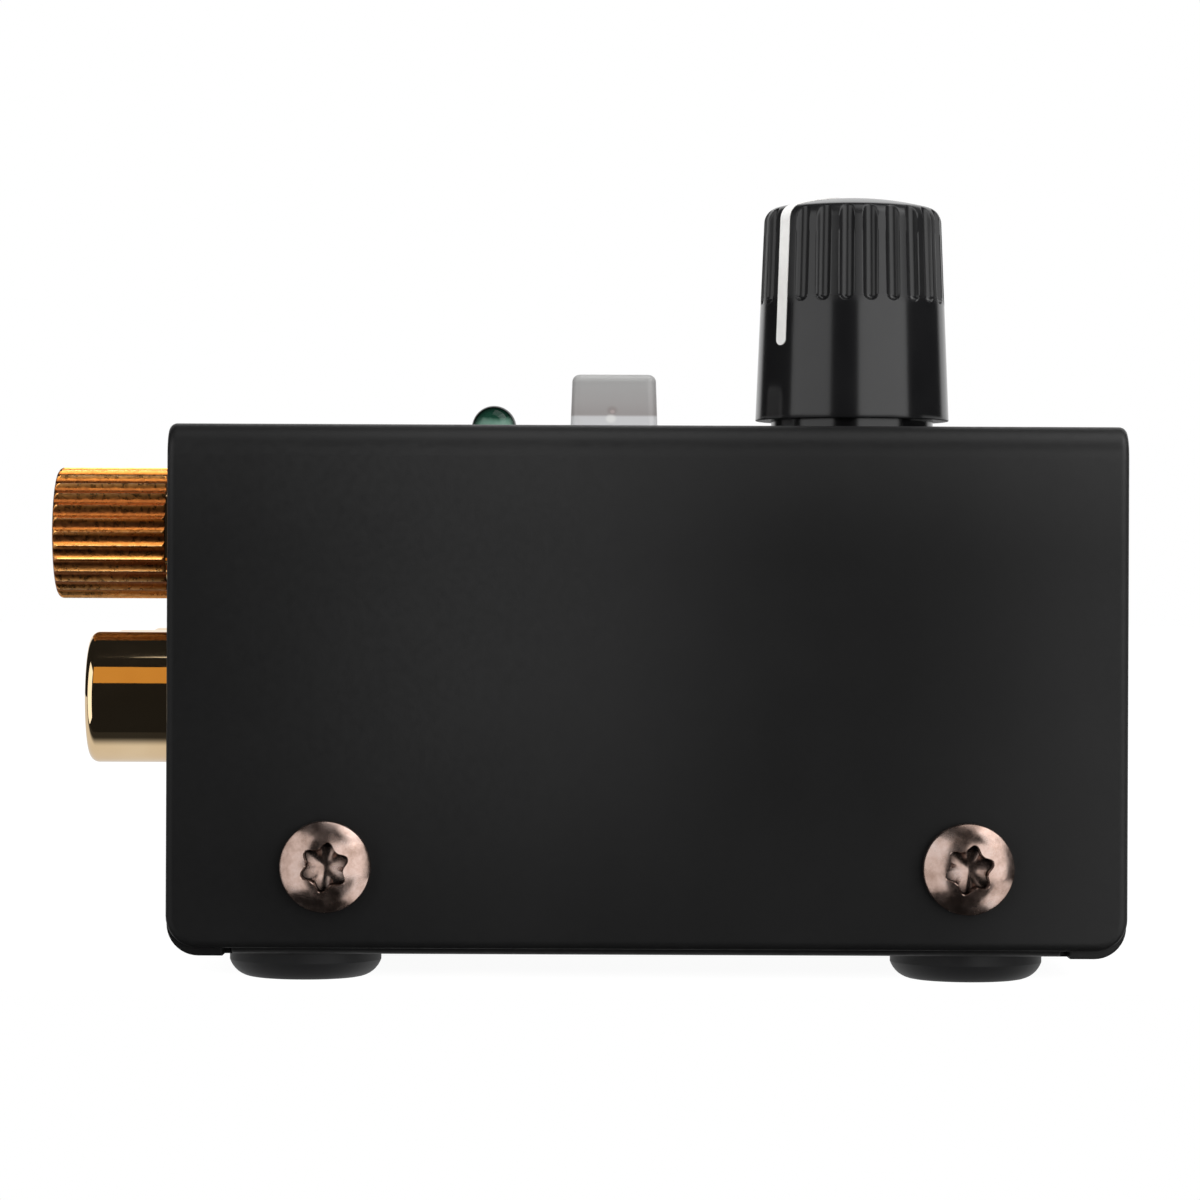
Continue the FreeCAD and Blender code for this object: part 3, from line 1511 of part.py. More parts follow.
def make_ground_post():
    make_ground_stud()
    make_thumb_nut()
    make_ground_washer()
    make_ground_lug()
    kept(hex_nut("InnerNut", "inner_nut_width", "inner_nut_thickness", "stud_radius + thread_gap",
                 "input_x", "post_inner_y - inner_nut_thickness", "post_height"),
         "ground_hex_nut")
    make_ground_wire()


# Board

def film_places():
    return [(f"({index} - (film_count - 1) / 2) * film_pitch - film_pitch", "film_offset")
            for index in range(int(value("film_count")))]


def film_pins():
    return [(f"{across} + ({side}) * film_pin_pitch / 2", back)
            for across, back in film_places() for side in (-1, 1)]


def make_board():
    body = new_body("Board")
    edge = "board_length / 2"
    pad(body, outline(body, "XY_Plane", rectangle(
        f"-{edge}", edge, "board_front_y", "board_back_y")), "board_thickness")
    hole = "pin_radius + pin_hole_gap"
    wide = "shell_tail_width / 2 + pin_hole_gap"
    long_hole = "trs_contact_width / 2 + pin_hole_gap"
    round_holes = [(across, back, hole) for across, back in pot_pins() + switch_pins() + film_pins()]
    round_holes += [(across, back, "led_lead_hole_radius")
                    for across, back in led_lead_places()]
    round_holes += [(across, back, wide) for across, back in jack_tail_spots() + dc_tail_spots()]
    round_holes += [(across, back, long_hole) for across, back in trs_contact_spots()]
    round_holes += [(across, back, "board_screw_radius + board_hole_gap")
                    for across in ("standoff_x", "-standoff_x")
                    for back in ("standoff_front_y", "standoff_rear_y")]
    pocket(body, circles(body, "XY_Plane", round_holes), backwards=True)
    place(kept(body, "main_board"), up="board_z")


def make_standoffs():
    """Hexagonal pillars pressed into the bottom, one under each corner of the board."""
    right = []
    for row, back in (("Front", "standoff_front_y"), ("Rear", "standoff_rear_y")):
        pillar = doc.addObject("Part::Prism", "Pillar" + row)
        pillar.Polygon = 6
        bind(pillar, Circumradius=f"standoff_width / {math.sqrt(3)}", Height="standoff_height")
        place(pillar, "standoff_x", back, "sheet")
        spigot = rod("Spigot" + row, "standoff_x", back, "0", "standoff_spigot_radius",
                     "sheet * 2")
        bore = rod("PillarBore" + row, "standoff_x", back, "-sheet",
                   "board_screw_radius + thread_gap", "board_z + 2 * sheet")
        right.append(cut("Standoff" + row, fused("StandoffBlank" + row, [pillar, spigot]), bore))
    left = [mirrored(item.Name + "Left", item) for item in right]
    kept(grouped("Standoffs", right + left), "board_standoffs")


def make_board_screws():
    right = []
    for row, back in (("Front", "standoff_front_y"), ("Rear", "standoff_rear_y")):
        body = new_body("BoardScrew" + row)
        turn(body, [
            ("0", "-board_screw_length"),
            ("board_screw_radius", "-board_screw_length"),
            ("board_screw_radius", "0"),
            ("board_screw_head_radius", "0"),
            ("board_screw_head_radius", "board_screw_head_height"),
            ("0", "board_screw_head_height"),
        ])
        rounded(body, "board_screw_head_round",
                ring_at("board_screw_head_radius", "board_screw_head_height"))
        for length, width in (("board_screw_head_radius", "board_screw_slot_width"),
                              ("board_screw_slot_width", "board_screw_head_radius")):
            slot = body.newObject("PartDesign::SubtractiveBox", "Slot")
            bind(slot, Length=length, Width=width, Height="board_screw_slot_depth")
            slot.setExpression("Placement.Base.x", bound(f"-{length} / 2"))
            slot.setExpression("Placement.Base.y", bound(f"-{width} / 2"))
            slot.setExpression("Placement.Base.z",
                               bound("board_screw_head_height - board_screw_slot_depth"))
            doc.recompute()
        right.append(place(body, "standoff_x", back, "board_top"))
    left = [mirrored(item.Name + "Left", item) for item in right]
    kept(grouped("BoardScrews", right + left), "board_screws")


def make_op_amps():
    """Two eight-legged amplifier chips."""
    chips = []
    for side in (-1, 1):
        across = f"({side}) * op_amp_spacing / 2"
        parts = [middle_box("ChipBody", across, "op_amp_offset", "board_top + op_amp_lift",
                            "op_amp_length", "op_amp_width", "op_amp_thickness")]
        for step in (-1.5, -0.5, 0.5, 1.5):
            for row in (-1, 1):
                leg = f"{across} + ({step}) * op_amp_leg_pitch"
                reach = f"op_amp_offset + ({row}) * (op_amp_width / 2 + op_amp_leg_reach / 2)"
                parts.append(middle_box("LegFoot", leg, reach, "board_top", "op_amp_leg_width",
                                        "op_amp_leg_reach", "op_amp_leg_thickness"))
                root = (f"op_amp_offset + ({row}) *"
                        " (op_amp_width / 2 + op_amp_leg_thickness / 2)")
                parts.append(middle_box("LegRise", leg, root, "board_top", "op_amp_leg_width",
                                        "op_amp_leg_thickness", "op_amp_thickness / 2"))
        chips.append(fused("Chip", parts))
    kept(grouped("OpAmps", chips), "op_amps")


def make_cans():
    """Row of electrolytic capacitors, each a can on a square base."""
    cans = []
    for index in range(int(value("can_count"))):
        across = f"can_row_x + {index} * can_pitch"
        body = new_body("Can")
        half = "can_base / 2"
        pad(body, outline(body, "XY_Plane", rectangle(f"-{half}", half, f"-{half}", half)),
            "can_base_height")
        can = body.newObject("PartDesign::AdditiveCylinder", "CanTube")
        bind(can, Radius="can_radius", Height="can_height")
        doc.recompute()
        rounded(body, "can_round", ring_at("can_radius", "can_height"))
        cans.append(place(body, across, "can_offset", "board_top"))
    kept(grouped("Cans", cans), "electrolytic_capacitors")


def make_film_capacitors():
    boxes = []
    for across, back in film_places():
        body = new_body("Film")
        pad(body, outline(body, "XY_Plane", rectangle(
            "-film_length / 2", "film_length / 2", "-film_width / 2", "film_width / 2")),
            "film_height")

        def upright(edge):
            return near(edge.BoundBox.ZLength, value("film_height"))
        rounded(body, "film_round", upright)
        place(body, across, back, "board_top")
        legs = [rod("FilmLeg", f"{across} + ({side}) * film_pin_pitch / 2", back, "pin_z",
                    "pin_radius", "pin_height + film_round") for side in (-1, 1)]
        boxes.append(fused("FilmCapacitor", [body] + legs))
    kept(grouped("FilmCapacitors", boxes), "film_capacitors")


def make_resistors():
    chips = []
    for index in range(int(value("chip_count"))):
        across = f"({index} - (chip_count - 1) / 2) * chip_pitch + chip_pitch / 2"
        chips.append(middle_box("ChipResistor", across, "chip_offset", "board_top",
                                "chip_width", "chip_length", "chip_height"))
    kept(grouped("Resistors", chips), "resistors")


def make_regulator():
    """Surface-mounted regulator with a cooling tab and two legs."""
    front = "regulator_offset - regulator_depth / 2"
    parts = [
        middle_box("RegulatorBody", "dc_x + regulator_shift", "regulator_offset", "board_top",
                   "regulator_width", "regulator_depth", "regulator_height"),
        middle_box("RegulatorTab", "dc_x + regulator_shift",
                   "regulator_offset + regulator_depth / 2 + regulator_tab_depth / 2",
                   "board_top", "regulator_tab_width", "regulator_tab_depth",
                   "regulator_tab_thickness"),
    ]
    for side in (-1, 1):
        parts.append(middle_box(
            "RegulatorLeg", f"dc_x + regulator_shift + ({side}) * regulator_leg_pitch",
            f"{front} - regulator_leg_reach / 2", "board_top", "regulator_leg_width",
            "regulator_leg_reach", "regulator_tab_thickness"))
    kept(fused("Regulator", parts), "voltage_regulator")


def check_document():
    """Stops when an object failed or a sub-part has no sound solid."""
    doc.recompute()
    for item in doc.Objects:
        if "Invalid" in item.State or "Error" in item.State:
            raise ValueError(f"{item.Name} ({item.Label}) failed: {item.State}")
    for item in PARTS:
        if item.Shape.isNull() or not item.Shape.isValid() or not item.Shape.Solids:
            raise ValueError(f"{item.Label} has no sound shape")


make_top_cover()
make_base_chassis()
make_cover_screws()
make_feet()
make_level_control()
make_power_button()
make_power_light()
make_jack_pair("input", "input_x")
make_jack_pair("output", "output_x")
make_trs_jack()
make_dc_jack()
make_ground_post()
make_board()
make_standoffs()
make_board_screws()
make_op_amps()
make_cans()
make_film_capacitors()
make_resistors()
make_regulator()
check_document()

os.makedirs("parts", exist_ok=True)
for sub_part in PARTS:
    sub_part.Shape.exportStep(f"parts/{sub_part.Label}.step")
print(len(PARTS), "sub-parts written")
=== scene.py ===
import json
import math

import bmesh
import bpy
from mathutils import Matrix, Vector, noise


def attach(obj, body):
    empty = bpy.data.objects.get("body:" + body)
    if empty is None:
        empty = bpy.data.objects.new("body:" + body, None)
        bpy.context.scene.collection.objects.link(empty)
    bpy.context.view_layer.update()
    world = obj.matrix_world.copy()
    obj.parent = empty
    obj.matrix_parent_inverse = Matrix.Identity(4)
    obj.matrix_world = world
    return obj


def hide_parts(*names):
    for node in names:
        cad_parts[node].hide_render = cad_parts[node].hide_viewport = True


# Phono preamp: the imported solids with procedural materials, and finer meshes for the pieces
# whose small forms show: knob, knurled nut, cover screws, barrels and jack nose.
# The scene is in metres. Sizes of pieces below are in millimetres, those of the studio in metres.
# +Z is up, the front faces -Y and the rear wall faces +Y.

MM = 0.001

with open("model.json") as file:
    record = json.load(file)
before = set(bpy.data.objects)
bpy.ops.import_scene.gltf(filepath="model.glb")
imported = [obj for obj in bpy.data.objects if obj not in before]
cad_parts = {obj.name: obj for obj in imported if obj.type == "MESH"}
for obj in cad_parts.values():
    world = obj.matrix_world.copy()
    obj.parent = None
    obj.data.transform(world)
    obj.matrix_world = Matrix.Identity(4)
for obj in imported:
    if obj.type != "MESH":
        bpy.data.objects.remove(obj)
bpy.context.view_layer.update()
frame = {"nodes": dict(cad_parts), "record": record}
nodes = frame["nodes"]


# Camera: it looks along the length at the left end plate, as the photograph does

CAMERA_PLACE = Vector((-341.0, -1.35, 24.25)) * MM
CAMERA_LENS = 134.9
CAMERA_ROLL = math.radians(0.24)


def make_camera():
    data = bpy.data.cameras.new("camera")
    data.lens = CAMERA_LENS
    data.sensor_width = 36.0
    data.clip_start = 0.01
    camera = bpy.data.objects.new("camera", data)
    looks = Matrix(((0, 0, -1), (-1, 0, 0), (0, 1, 0)))
    camera.matrix_world = Matrix.Translation(CAMERA_PLACE) @ (
        looks @ Matrix.Rotation(CAMERA_ROLL, 3, "Z")).to_4x4()
    bpy.context.scene.collection.objects.link(camera)
    bpy.context.scene.camera = camera


# Mesh helpers

def new_piece(name, bm, body, stands_for):
    """A finished mesh as a piece that rides on a body and stands for CAD nodes."""
    bmesh.ops.recalc_face_normals(bm, faces=bm.faces)
    mesh = bpy.data.meshes.new(name)
    bm.to_mesh(mesh)
    bm.free()
    piece = bpy.data.objects.new(name, mesh)
    bpy.context.scene.collection.objects.link(piece)
    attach(piece, body)
    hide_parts(*stands_for)
    return piece


def skin(bm, rings, matrix, closed=True):
    """Quads between rings of points, with a fan to a middle point at both ends if closed."""
    made = [[bm.verts.new(matrix @ point) for point in points] for points in rings]
    for low, high in zip(made, made[1:]):
        for index in range(len(low)):
            following = (index + 1) % len(low)
            bm.faces.new((low[index], low[following], high[following], high[index]))
    if not closed:
        return
    for verts in (made[0], made[-1]):
        centre = bm.verts.new(sum((vert.co for vert in verts), Vector()) / len(verts))
        for index in range(len(verts)):
            bm.faces.new((verts[index], verts[(index + 1) % len(verts)], centre))


def ring(radius, height, count):
    """Round ring about Z. The radius is a number or a function of the angle."""
    points = []
    for index in range(count):
        angle = 2 * math.pi * index / count
        reach = radius(angle) if callable(radius) else radius
        points.append(Vector((reach * math.cos(angle), reach * math.sin(angle), height)))
    return points


def arc(centre, radius, start, end, steps):
    """Points (radius, height) of an arc in a profile, angles in degrees."""
    out = []
    for step in range(steps + 1):
        angle = math.radians(start + (end - start) * step / steps)
        out.append((centre[0] + radius * math.cos(angle), centre[1] + radius * math.sin(angle)))
    return out


def shade_smooth(piece, angle):
    """Smooth shading, with edges sharper than an angle kept sharp."""
    mesh = piece.data
    for polygon in mesh.polygons:
        polygon.use_smooth = True
    bm = bmesh.new()
    bm.from_mesh(mesh)
    for edge in bm.edges:
        edge.smooth = len(edge.link_faces) != 2 or edge.calc_face_angle(0) < math.radians(angle)
    bm.to_mesh(mesh)
    bm.free()


def turned_to(place, axis, spin=0.0):
    """Matrix from millimetres to metres that puts a piece made about Z at a place, Z along an axis."""
    turn = {
        "+Z": Matrix.Identity(4),
        "+Y": Matrix.Rotation(math.radians(-90), 4, "X"),
        "+X": Matrix.Rotation(math.radians(90), 4, "Y"),
        "-X": Matrix.Rotation(math.radians(-90), 4, "Y"),
    }[axis]
    scale = Matrix.Scale(MM, 4)
    return scale @ Matrix.Translation(Vector(place)) @ turn @ Matrix.Rotation(spin, 4, "Z")


def rings_of(profile, count):
    """Round rings from points (radius, height)."""
    return [ring(radius, height, count) for radius, height in profile]


def tube(name, rings, matrix, body, stands_for, sharp):
    """A hollow turned piece. Its last ring lies on its first, which closes it."""
    bm = bmesh.new()
    skin(bm, rings, matrix, closed=False)
    bmesh.ops.remove_doubles(bm, verts=bm.verts, dist=1e-7)
    piece = new_piece(name, bm, body, stands_for)
    shade_smooth(piece, sharp)
    return piece


# Knob

KNOB_LOW = 36.25
KNOB_PLACE = (-40.5, -18.13, KNOB_LOW)
KNOB_REST = math.radians(38.2 + 90)
BASE_R, TOP_R = 6.45, 5.88
KNOB_H, DOME_RISE, SHOULDER_R = 14.85, 0.85, 1.05
KNOB_CORNER = KNOB_H - DOME_RISE
SKIRT_ROUND, SKIRT_FLAT_R = 0.06, 6.0
COLLAR_R, COLLAR_FLAT_R, COLLAR_DROP, COLLAR_EDGE = 5.4, 5.25, 0.7, 0.08
UNDERSIDE_MIDDLE_R = 1.0
GROOVES, COLUMNS_PER_GROOVE = 24, 24
GROOVE_R, GROOVE_DEPTH, GROOVE_END, GROOVE_EDGE = 0.48, 0.40, 8.2, 0.05


def side_radius(height):
    """Radius of the knob's tapering side."""
    return BASE_R - (BASE_R - TOP_R) * height / KNOB_CORNER


def shoulder_centre(dome, centre_z, lean):
    """(radius, height) of the middle of the fillet between the side and the dome."""
    low, high = 0.0, TOP_R
    for _ in range(60):
        across = (low + high) / 2
        up = centre_z + math.sqrt((dome - SHOULDER_R) ** 2 - across ** 2)
        to_side = (TOP_R - across + (KNOB_CORNER - up) * math.tan(lean)) * math.cos(lean)
        if to_side > SHOULDER_R:
            low = across
        else:
            high = across
    return across, up


def knob_heights(top_of_side):
    """Heights of the side's rings: close together where the grooves end."""
    sparse_top, close_top = 7.6, 8.5
    heights = [SKIRT_ROUND + (sparse_top - SKIRT_ROUND) * step / 20 for step in range(1, 20)]
    heights += [sparse_top + (close_top - sparse_top) * step / 30 for step in range(30)]
    heights += [close_top + (top_of_side - close_top) * step / 24 for step in range(24)]
    return heights


def knob_profile():
    """(radius, height) from the collar's underside up the side to the apex."""
    out = [(UNDERSIDE_MIDDLE_R, -COLLAR_DROP), (COLLAR_FLAT_R, -COLLAR_DROP),
           (COLLAR_R, COLLAR_EDGE - COLLAR_DROP), (COLLAR_R, 0.0), (SKIRT_FLAT_R, 0.0)]
    out += arc((BASE_R - SKIRT_ROUND, SKIRT_ROUND), SKIRT_ROUND, -90, 0, 3)
    dome = (TOP_R ** 2 + DOME_RISE ** 2) / (2 * DOME_RISE)
    centre_z = KNOB_H - dome
    lean = math.atan((BASE_R - TOP_R) / KNOB_CORNER)
    across, up = shoulder_centre(dome, centre_z, lean)
    end = math.degrees(math.atan2(up - centre_z, across))
    for height in knob_heights(up + SHOULDER_R * math.sin(lean)):
        out.append((side_radius(height), height))
    out += arc((across, up), SHOULDER_R, math.degrees(lean), end, 14)
    for step in range(1, 16):
        angle = math.radians(90 - end) * (1 - step / 16)
        out.append((dome * math.sin(angle), centre_z + dome * math.cos(angle)))
    return out


def groove_wall(height, angle):
    """Distance from the axis to the nearest groove's wall, or None between grooves.

    There is no groove at angle zero, where the pointer runs.
    """
    pitch = 2 * math.pi / GROOVES
    count = round(angle / pitch)
    if count % GROOVES == 0:
        return None
    off = angle - count * pitch
    centre = side_radius(height) + GROOVE_R - GROOVE_DEPTH
    drop = max(GROOVE_END - height, 0)
    if drop >= GROOVE_R:
        return None
    reach = GROOVE_R ** 2 - drop ** 2 - (centre * math.sin(off)) ** 2
    if reach <= 0:
        return None
    return centre * math.cos(off) - math.sqrt(reach)


def soft_lower(a, b, blend):
    """The lower of two values, with the corner between them rounded."""
    share = max(blend - abs(a - b), 0) / blend
    return min(a, b) - share * share * blend / 4


def make_knob():
    """The knob with its grooves, turned as in the photograph."""
    rings = []
    for radius, height in knob_profile():
        def reach(angle, radius=radius, height=height):
            wall = groove_wall(height, angle)
            if height < GROOVE_END - GROOVE_R or wall is None:
                return radius
            return soft_lower(radius, wall, GROOVE_EDGE)
        rings.append(ring(reach, height, GROOVES * COLUMNS_PER_GROOVE))
    bm = bmesh.new()
    skin(bm, rings, turned_to(KNOB_PLACE, "+Z", KNOB_REST))
    knob = new_piece("knob", bm, "level_control", ["level_knob"])
    shade_smooth(knob, 50)
    return knob


# Knurled nut

NUT_PLACE = (-44.5, 26.99, 28.53)
NUT_R, NUT_LENGTH, NUT_BORE = 4.32, 7.34, 2.03
NUT_INNER_ROUND, NUT_OUTER_ROUND, NUT_BORE_EDGE = 0.25, 0.45, 0.4
NUT_INNER_FACE_R = 3.9
NUT_OUTER_FACE_RS = (3.6, 3.0)
TEETH, COLUMNS_PER_TOOTH, TOOTH_ROWS = 30, 16, 90
TOOTH_DEPTH, TOOTH_SHAPE, TOOTH_INSET = 0.27, 2.4, 0.004
# Unevenness of the knurling: noise steps round the nut, noise steps along it, height
KNURL_GRAINS = ((26, 6, 0.008), (60, 14, 0.005))


def nut_profile():
    """(radius, height, whether the teeth are cut there) round the nut's section."""
    side = NUT_LENGTH - NUT_INNER_ROUND - NUT_OUTER_ROUND
    cut = arc((NUT_R - NUT_INNER_ROUND, NUT_INNER_ROUND), NUT_INNER_ROUND, -90, 0, 5)
    for row in range(1, TOOTH_ROWS):
        cut.append((NUT_R, NUT_INNER_ROUND + side * row / TOOTH_ROWS))
    cut += arc((NUT_R - NUT_OUTER_ROUND, NUT_LENGTH - NUT_OUTER_ROUND), NUT_OUTER_ROUND, 0, 90, 9)
    inner_face = [(NUT_BORE, 0.0), (NUT_INNER_FACE_R, 0.0)]
    outer_face = [(radius, NUT_LENGTH) for radius in NUT_OUTER_FACE_RS]
    bore = [(NUT_BORE + NUT_BORE_EDGE, NUT_LENGTH), (NUT_BORE, NUT_LENGTH - NUT_BORE_EDGE),
            (NUT_BORE, 3.0), (NUT_BORE, 0.0)]
    out = [(*point, False) for point in inner_face]
    out += [(*point, True) for point in cut]
    out += [(*point, False) for point in outer_face + bore]
    return out


def unevenness(angle, height):
    """How far the knurling stands out at a spot through its grain."""
    out = 0.0
    for around, along, size in KNURL_GRAINS:
        spot = Vector((math.cos(angle) * around, math.sin(angle) * around, height * along))
        out += size * noise.noise(spot)
    return out


def make_thumb_nut():
    """The knurled nut of the ground post."""
    pitch = 2 * math.pi / TEETH
    rings = []
    for radius, height, cut in nut_profile():
        def reach(angle, radius=radius, height=height, cut=cut):
            if not cut:
                return radius
            share = abs((angle / pitch) % 1 - 0.5) * 2
            depth = TOOTH_DEPTH * (1 - share ** TOOTH_SHAPE)
            return min(radius, NUT_R - depth + unevenness(angle, height)) - TOOTH_INSET
        rings.append(ring(reach, height, TEETH * COLUMNS_PER_TOOTH))
    return tube("thumb_nut", rings, turned_to(NUT_PLACE, "+Y"), "ground_nut",
                ["ground_thumb_nut"], 70)


# Cover screws

SCREW_X, SCREW_Z = 61.0, 7.6
SCREW_YS = {"front": -24.33, "rear": 15.67}
SCREW_SPINS = {("left", "front"): 0.30, ("left", "rear"): 0.37,
               ("right", "front"): 0.8, ("right", "rear"): 0.45}
SHANK_R, SHANK_LENGTH, SHANK_END_R = 1.5, 1.5, 1.2
HEAD_R, HEAD_EDGE, RIM_ROUND, RIM_HEIGHT = 2.85, 0.1, 0.20, 0.80
RIM_LEAN, MIDDLE_LEAN, MIDDLE_R = 38, 9, 1.15
LOBE_R, HOLLOW_R, LOBE_SHARPNESS, RECESS_DEPTH = 1.60, 1.22, 1.3, 1.05


def lobed(inset):
    """Outline of the six-lobe recess, drawn in by an inset."""
    def radius(angle):
        wave = (0.5 + 0.5 * math.cos(6 * angle)) ** LOBE_SHARPNESS
        return HOLLOW_R + (LOBE_R - HOLLOW_R) * wave - inset
    return radius


def make_cover_screw(name, place, axis, spin):
    """A screw's head, its shallow dome with a small fillet at the rim, and a stub of its shank."""
    count = 180
    rim = arc((HEAD_R - RIM_ROUND, RIM_HEIGHT), RIM_ROUND, 0, 90 - RIM_LEAN, 6)
    start_r, start_z = rim[-1]

    def dome_height(radius):
        """Height of the dome, its lean falling evenly from the rim to the middle."""
        steep, flat = math.tan(math.radians(RIM_LEAN)), math.tan(math.radians(MIDDLE_LEAN))
        fall = (steep - flat) / (start_r - MIDDLE_R)
        gone = start_r - radius
        return start_z + steep * gone - fall * gone * gone / 2

    def on_dome(reach, sink=0.0):
        points = ring(reach, 0.0, count)
        for point in points:
            point.z = dome_height(math.hypot(point.x, point.y)) - sink
        return points

    rings = rings_of([(SHANK_END_R, -SHANK_LENGTH), (SHANK_R, -SHANK_LENGTH), (SHANK_R, 0.0),
                      (HEAD_R - HEAD_EDGE, 0.0)], count)
    rings += rings_of(arc((HEAD_R - HEAD_EDGE, HEAD_EDGE), HEAD_EDGE, -90, 0, 4), count)
    rings += rings_of(rim, count)
    lobes, steps = lobed(0.0), 16
    for step in range(1, steps + 1):
        share = step / steps
        rings.append(on_dome(lambda angle, share=share: (
            start_r + (lobes(angle) - start_r) * share)))
    top = dome_height(LOBE_R)
    floor = top - RECESS_DEPTH
    # The recess has a soft edge, a wall that leans in a little and a dimple in its floor.
    rings.append(on_dome(lobed(0.03), 0.03))
    for inset, height in ((0.055, top - 0.13), (0.10, floor + 0.06), (0.14, floor)):
        rings.append(ring(lobed(inset), height, count))
    rings += rings_of([(0.55, floor - 0.20), (0.15, floor - 0.32)], count)
    bm = bmesh.new()
    skin(bm, rings, turned_to(place, axis, math.radians(90) + spin))
    piece = new_piece(name, bm, "root", ["cover_screws"])
    shade_smooth(piece, 40)
    return piece


def make_cover_screws():
    out = []
    for side, across, axis in (("left", -SCREW_X, "-X"), ("right", SCREW_X, "+X")):
        for row, back in SCREW_YS.items():
            out.append(make_cover_screw(f"cover_screw_{side}_{row}", (across, back, SCREW_Z), axis,
                                        SCREW_SPINS[side, row]))
    return out


# Phono barrels and the quarter-inch jack's nose

JACK_Z = 17.9
JACKS = {"input_left": -51.5, "input_right": -37.5, "output_left": -12.0, "output_right": 2.0}
BARREL_R, BARREL_BORE, BARREL_LOW = 4.2, 3.5, 22.0
FLANGE_R, FLANGE_LOW, FLANGE_HIGH = 5.2, 23.87, 24.37
STEP_R, STEP_HIGH = 4.4, 25.81
MOUTH_ROUND, MOUTH_LOW, MOUTH_HIGH = 0.6, 30.78, 31.375
NOSE_X, NOSE_R, NOSE_BORE = 24.0, 4.5, 3.25
NOSE_LOW, NOSE_HIGH = 23.17, 28.97
THREAD_LOW, THREAD_HIGH, THREAD_PITCH, THREAD_DEPTH = 25.7, 28.6, 0.5, 0.22


def barrel_profile():
    """(radius, Y) from the bore's inner end over flange, step, wall and mouth back to the bore."""
    out = [(BARREL_BORE, BARREL_LOW), (BARREL_R, BARREL_LOW), (BARREL_R, FLANGE_LOW),
           (FLANGE_R, FLANGE_LOW), (FLANGE_R, FLANGE_HIGH), (STEP_R, FLANGE_HIGH),
           (STEP_R, STEP_HIGH - 0.09), (STEP_R - 0.05, STEP_HIGH - 0.04),
           (BARREL_R + 0.04, STEP_HIGH - 0.04), (BARREL_R, STEP_HIGH)]
    out += [(BARREL_R, STEP_HIGH + 0.4 * step) for step in range(1, 13)]
    out += arc((BARREL_R - MOUTH_ROUND, MOUTH_LOW), MOUTH_ROUND, 0, 78, 12)
    out += [(BARREL_BORE + 0.08, MOUTH_HIGH), (BARREL_BORE + 0.04, MOUTH_HIGH - 0.045),
            (BARREL_BORE, MOUTH_HIGH - 0.125), (BARREL_BORE, 30.9), (BARREL_BORE, 27.0)]
    return out + out[:1]


def make_barrels():
    out = []
    for name, across in JACKS.items():
        out.append(tube(f"{name}_barrel", rings_of(barrel_profile(), 192),
                        turned_to((across, 0.0, JACK_Z), "+Y"), "root",
                        [f"{name}_shell"], 40))
    return out


def make_jack_nose():
    """The quarter-inch jack's nose with its thread."""
    count, steps = 96, 56
    rings = rings_of([(NOSE_BORE, NOSE_LOW), (NOSE_R, NOSE_LOW), (NOSE_R, 24.0),
                      (NOSE_R, THREAD_LOW - 0.1)], count)
    for step in range(steps + 1):
        height = THREAD_LOW + (THREAD_HIGH - THREAD_LOW) * step / steps

        def reach(angle, height=height):
            phase = (height / THREAD_PITCH - angle / (2 * math.pi)) % 1
            return NOSE_R - THREAD_DEPTH * abs(phase - 0.5) * 2
        rings.append(ring(reach, height, count))
    rings += rings_of([(4.2, 28.85), (4.1, NOSE_HIGH), (3.65, NOSE_HIGH), (3.3, 28.65),
                       (NOSE_BORE, 28.55), (NOSE_BORE, NOSE_LOW)], count)
    return tube("jack_nose", rings, turned_to((NOSE_X, 0.0, JACK_Z), "+Y"), "root",
                ["trs_jack_nose"], 60)


# Node helpers

def fill(tree, node, inputs):
    """Sets a node's inputs. A socket is linked, anything else is a value."""
    for key, given in inputs.items():
        if isinstance(given, bpy.types.NodeSocket):
            tree.links.new(given, node.inputs[key])
        else:
            node.inputs[key].default_value = given
    return node


def add(tree, kind, inputs=None, **settings):
    """A new node with its settings and its inputs."""
    node = tree.nodes.new(kind)
    for key, setting in settings.items():
        setattr(node, key, setting)
    return fill(tree, node, inputs or {})


def own_place(tree):
    """Each point's place in the piece's own space, which moves with it."""
    return add(tree, "ShaderNodeTexCoord").outputs["Object"]


def split(tree, vector):
    """The X, Y and Z of a vector."""
    return add(tree, "ShaderNodeSeparateXYZ", {"Vector": vector}).outputs


def mapped_noise(tree, scale, detail=2.0, roughness=0.5, stretch=(1, 1, 1)):
    """Noise over the piece's own place, features per metre."""
    mapping = add(tree, "ShaderNodeMapping", {"Vector": own_place(tree), "Scale": stretch})
    texture = add(tree, "ShaderNodeTexNoise", {
        "Vector": mapping.outputs["Vector"], "Scale": scale, "Detail": detail,
        "Roughness": roughness})
    return texture.outputs["Fac"]


def ramp(tree, source, stops):
    """Colours or, from single numbers, greys along a source."""
    node = add(tree, "ShaderNodeValToRGB", {"Fac": source})
    elements = node.color_ramp.elements
    while len(elements) > len(stops):
        elements.remove(elements[-1])
    while len(elements) < len(stops):
        elements.new(0.5)
    for element, (place, colour) in zip(elements, stops):
        element.position = place
        element.color = (*colour, 1) if isinstance(colour, tuple) else (colour,) * 3 + (1,)
    return node.outputs["Color"]


def varied(tree, scale, low, high, detail=2.0, ends=(0.3, 0.7)):
    """A number that wanders between two values."""
    return ramp(tree, mapped_noise(tree, scale, detail), [(ends[0], low), (ends[1], high)])


def map_range(tree, source, span, to, kind="LINEAR"):
    """A number carried over from one span to another and kept inside it."""
    node = add(tree, "ShaderNodeMapRange", {
        "Value": source, "From Min": span[0], "From Max": span[1], "To Min": to[0],
        "To Max": to[1]}, interpolation_type=kind)
    return node.outputs["Result"]


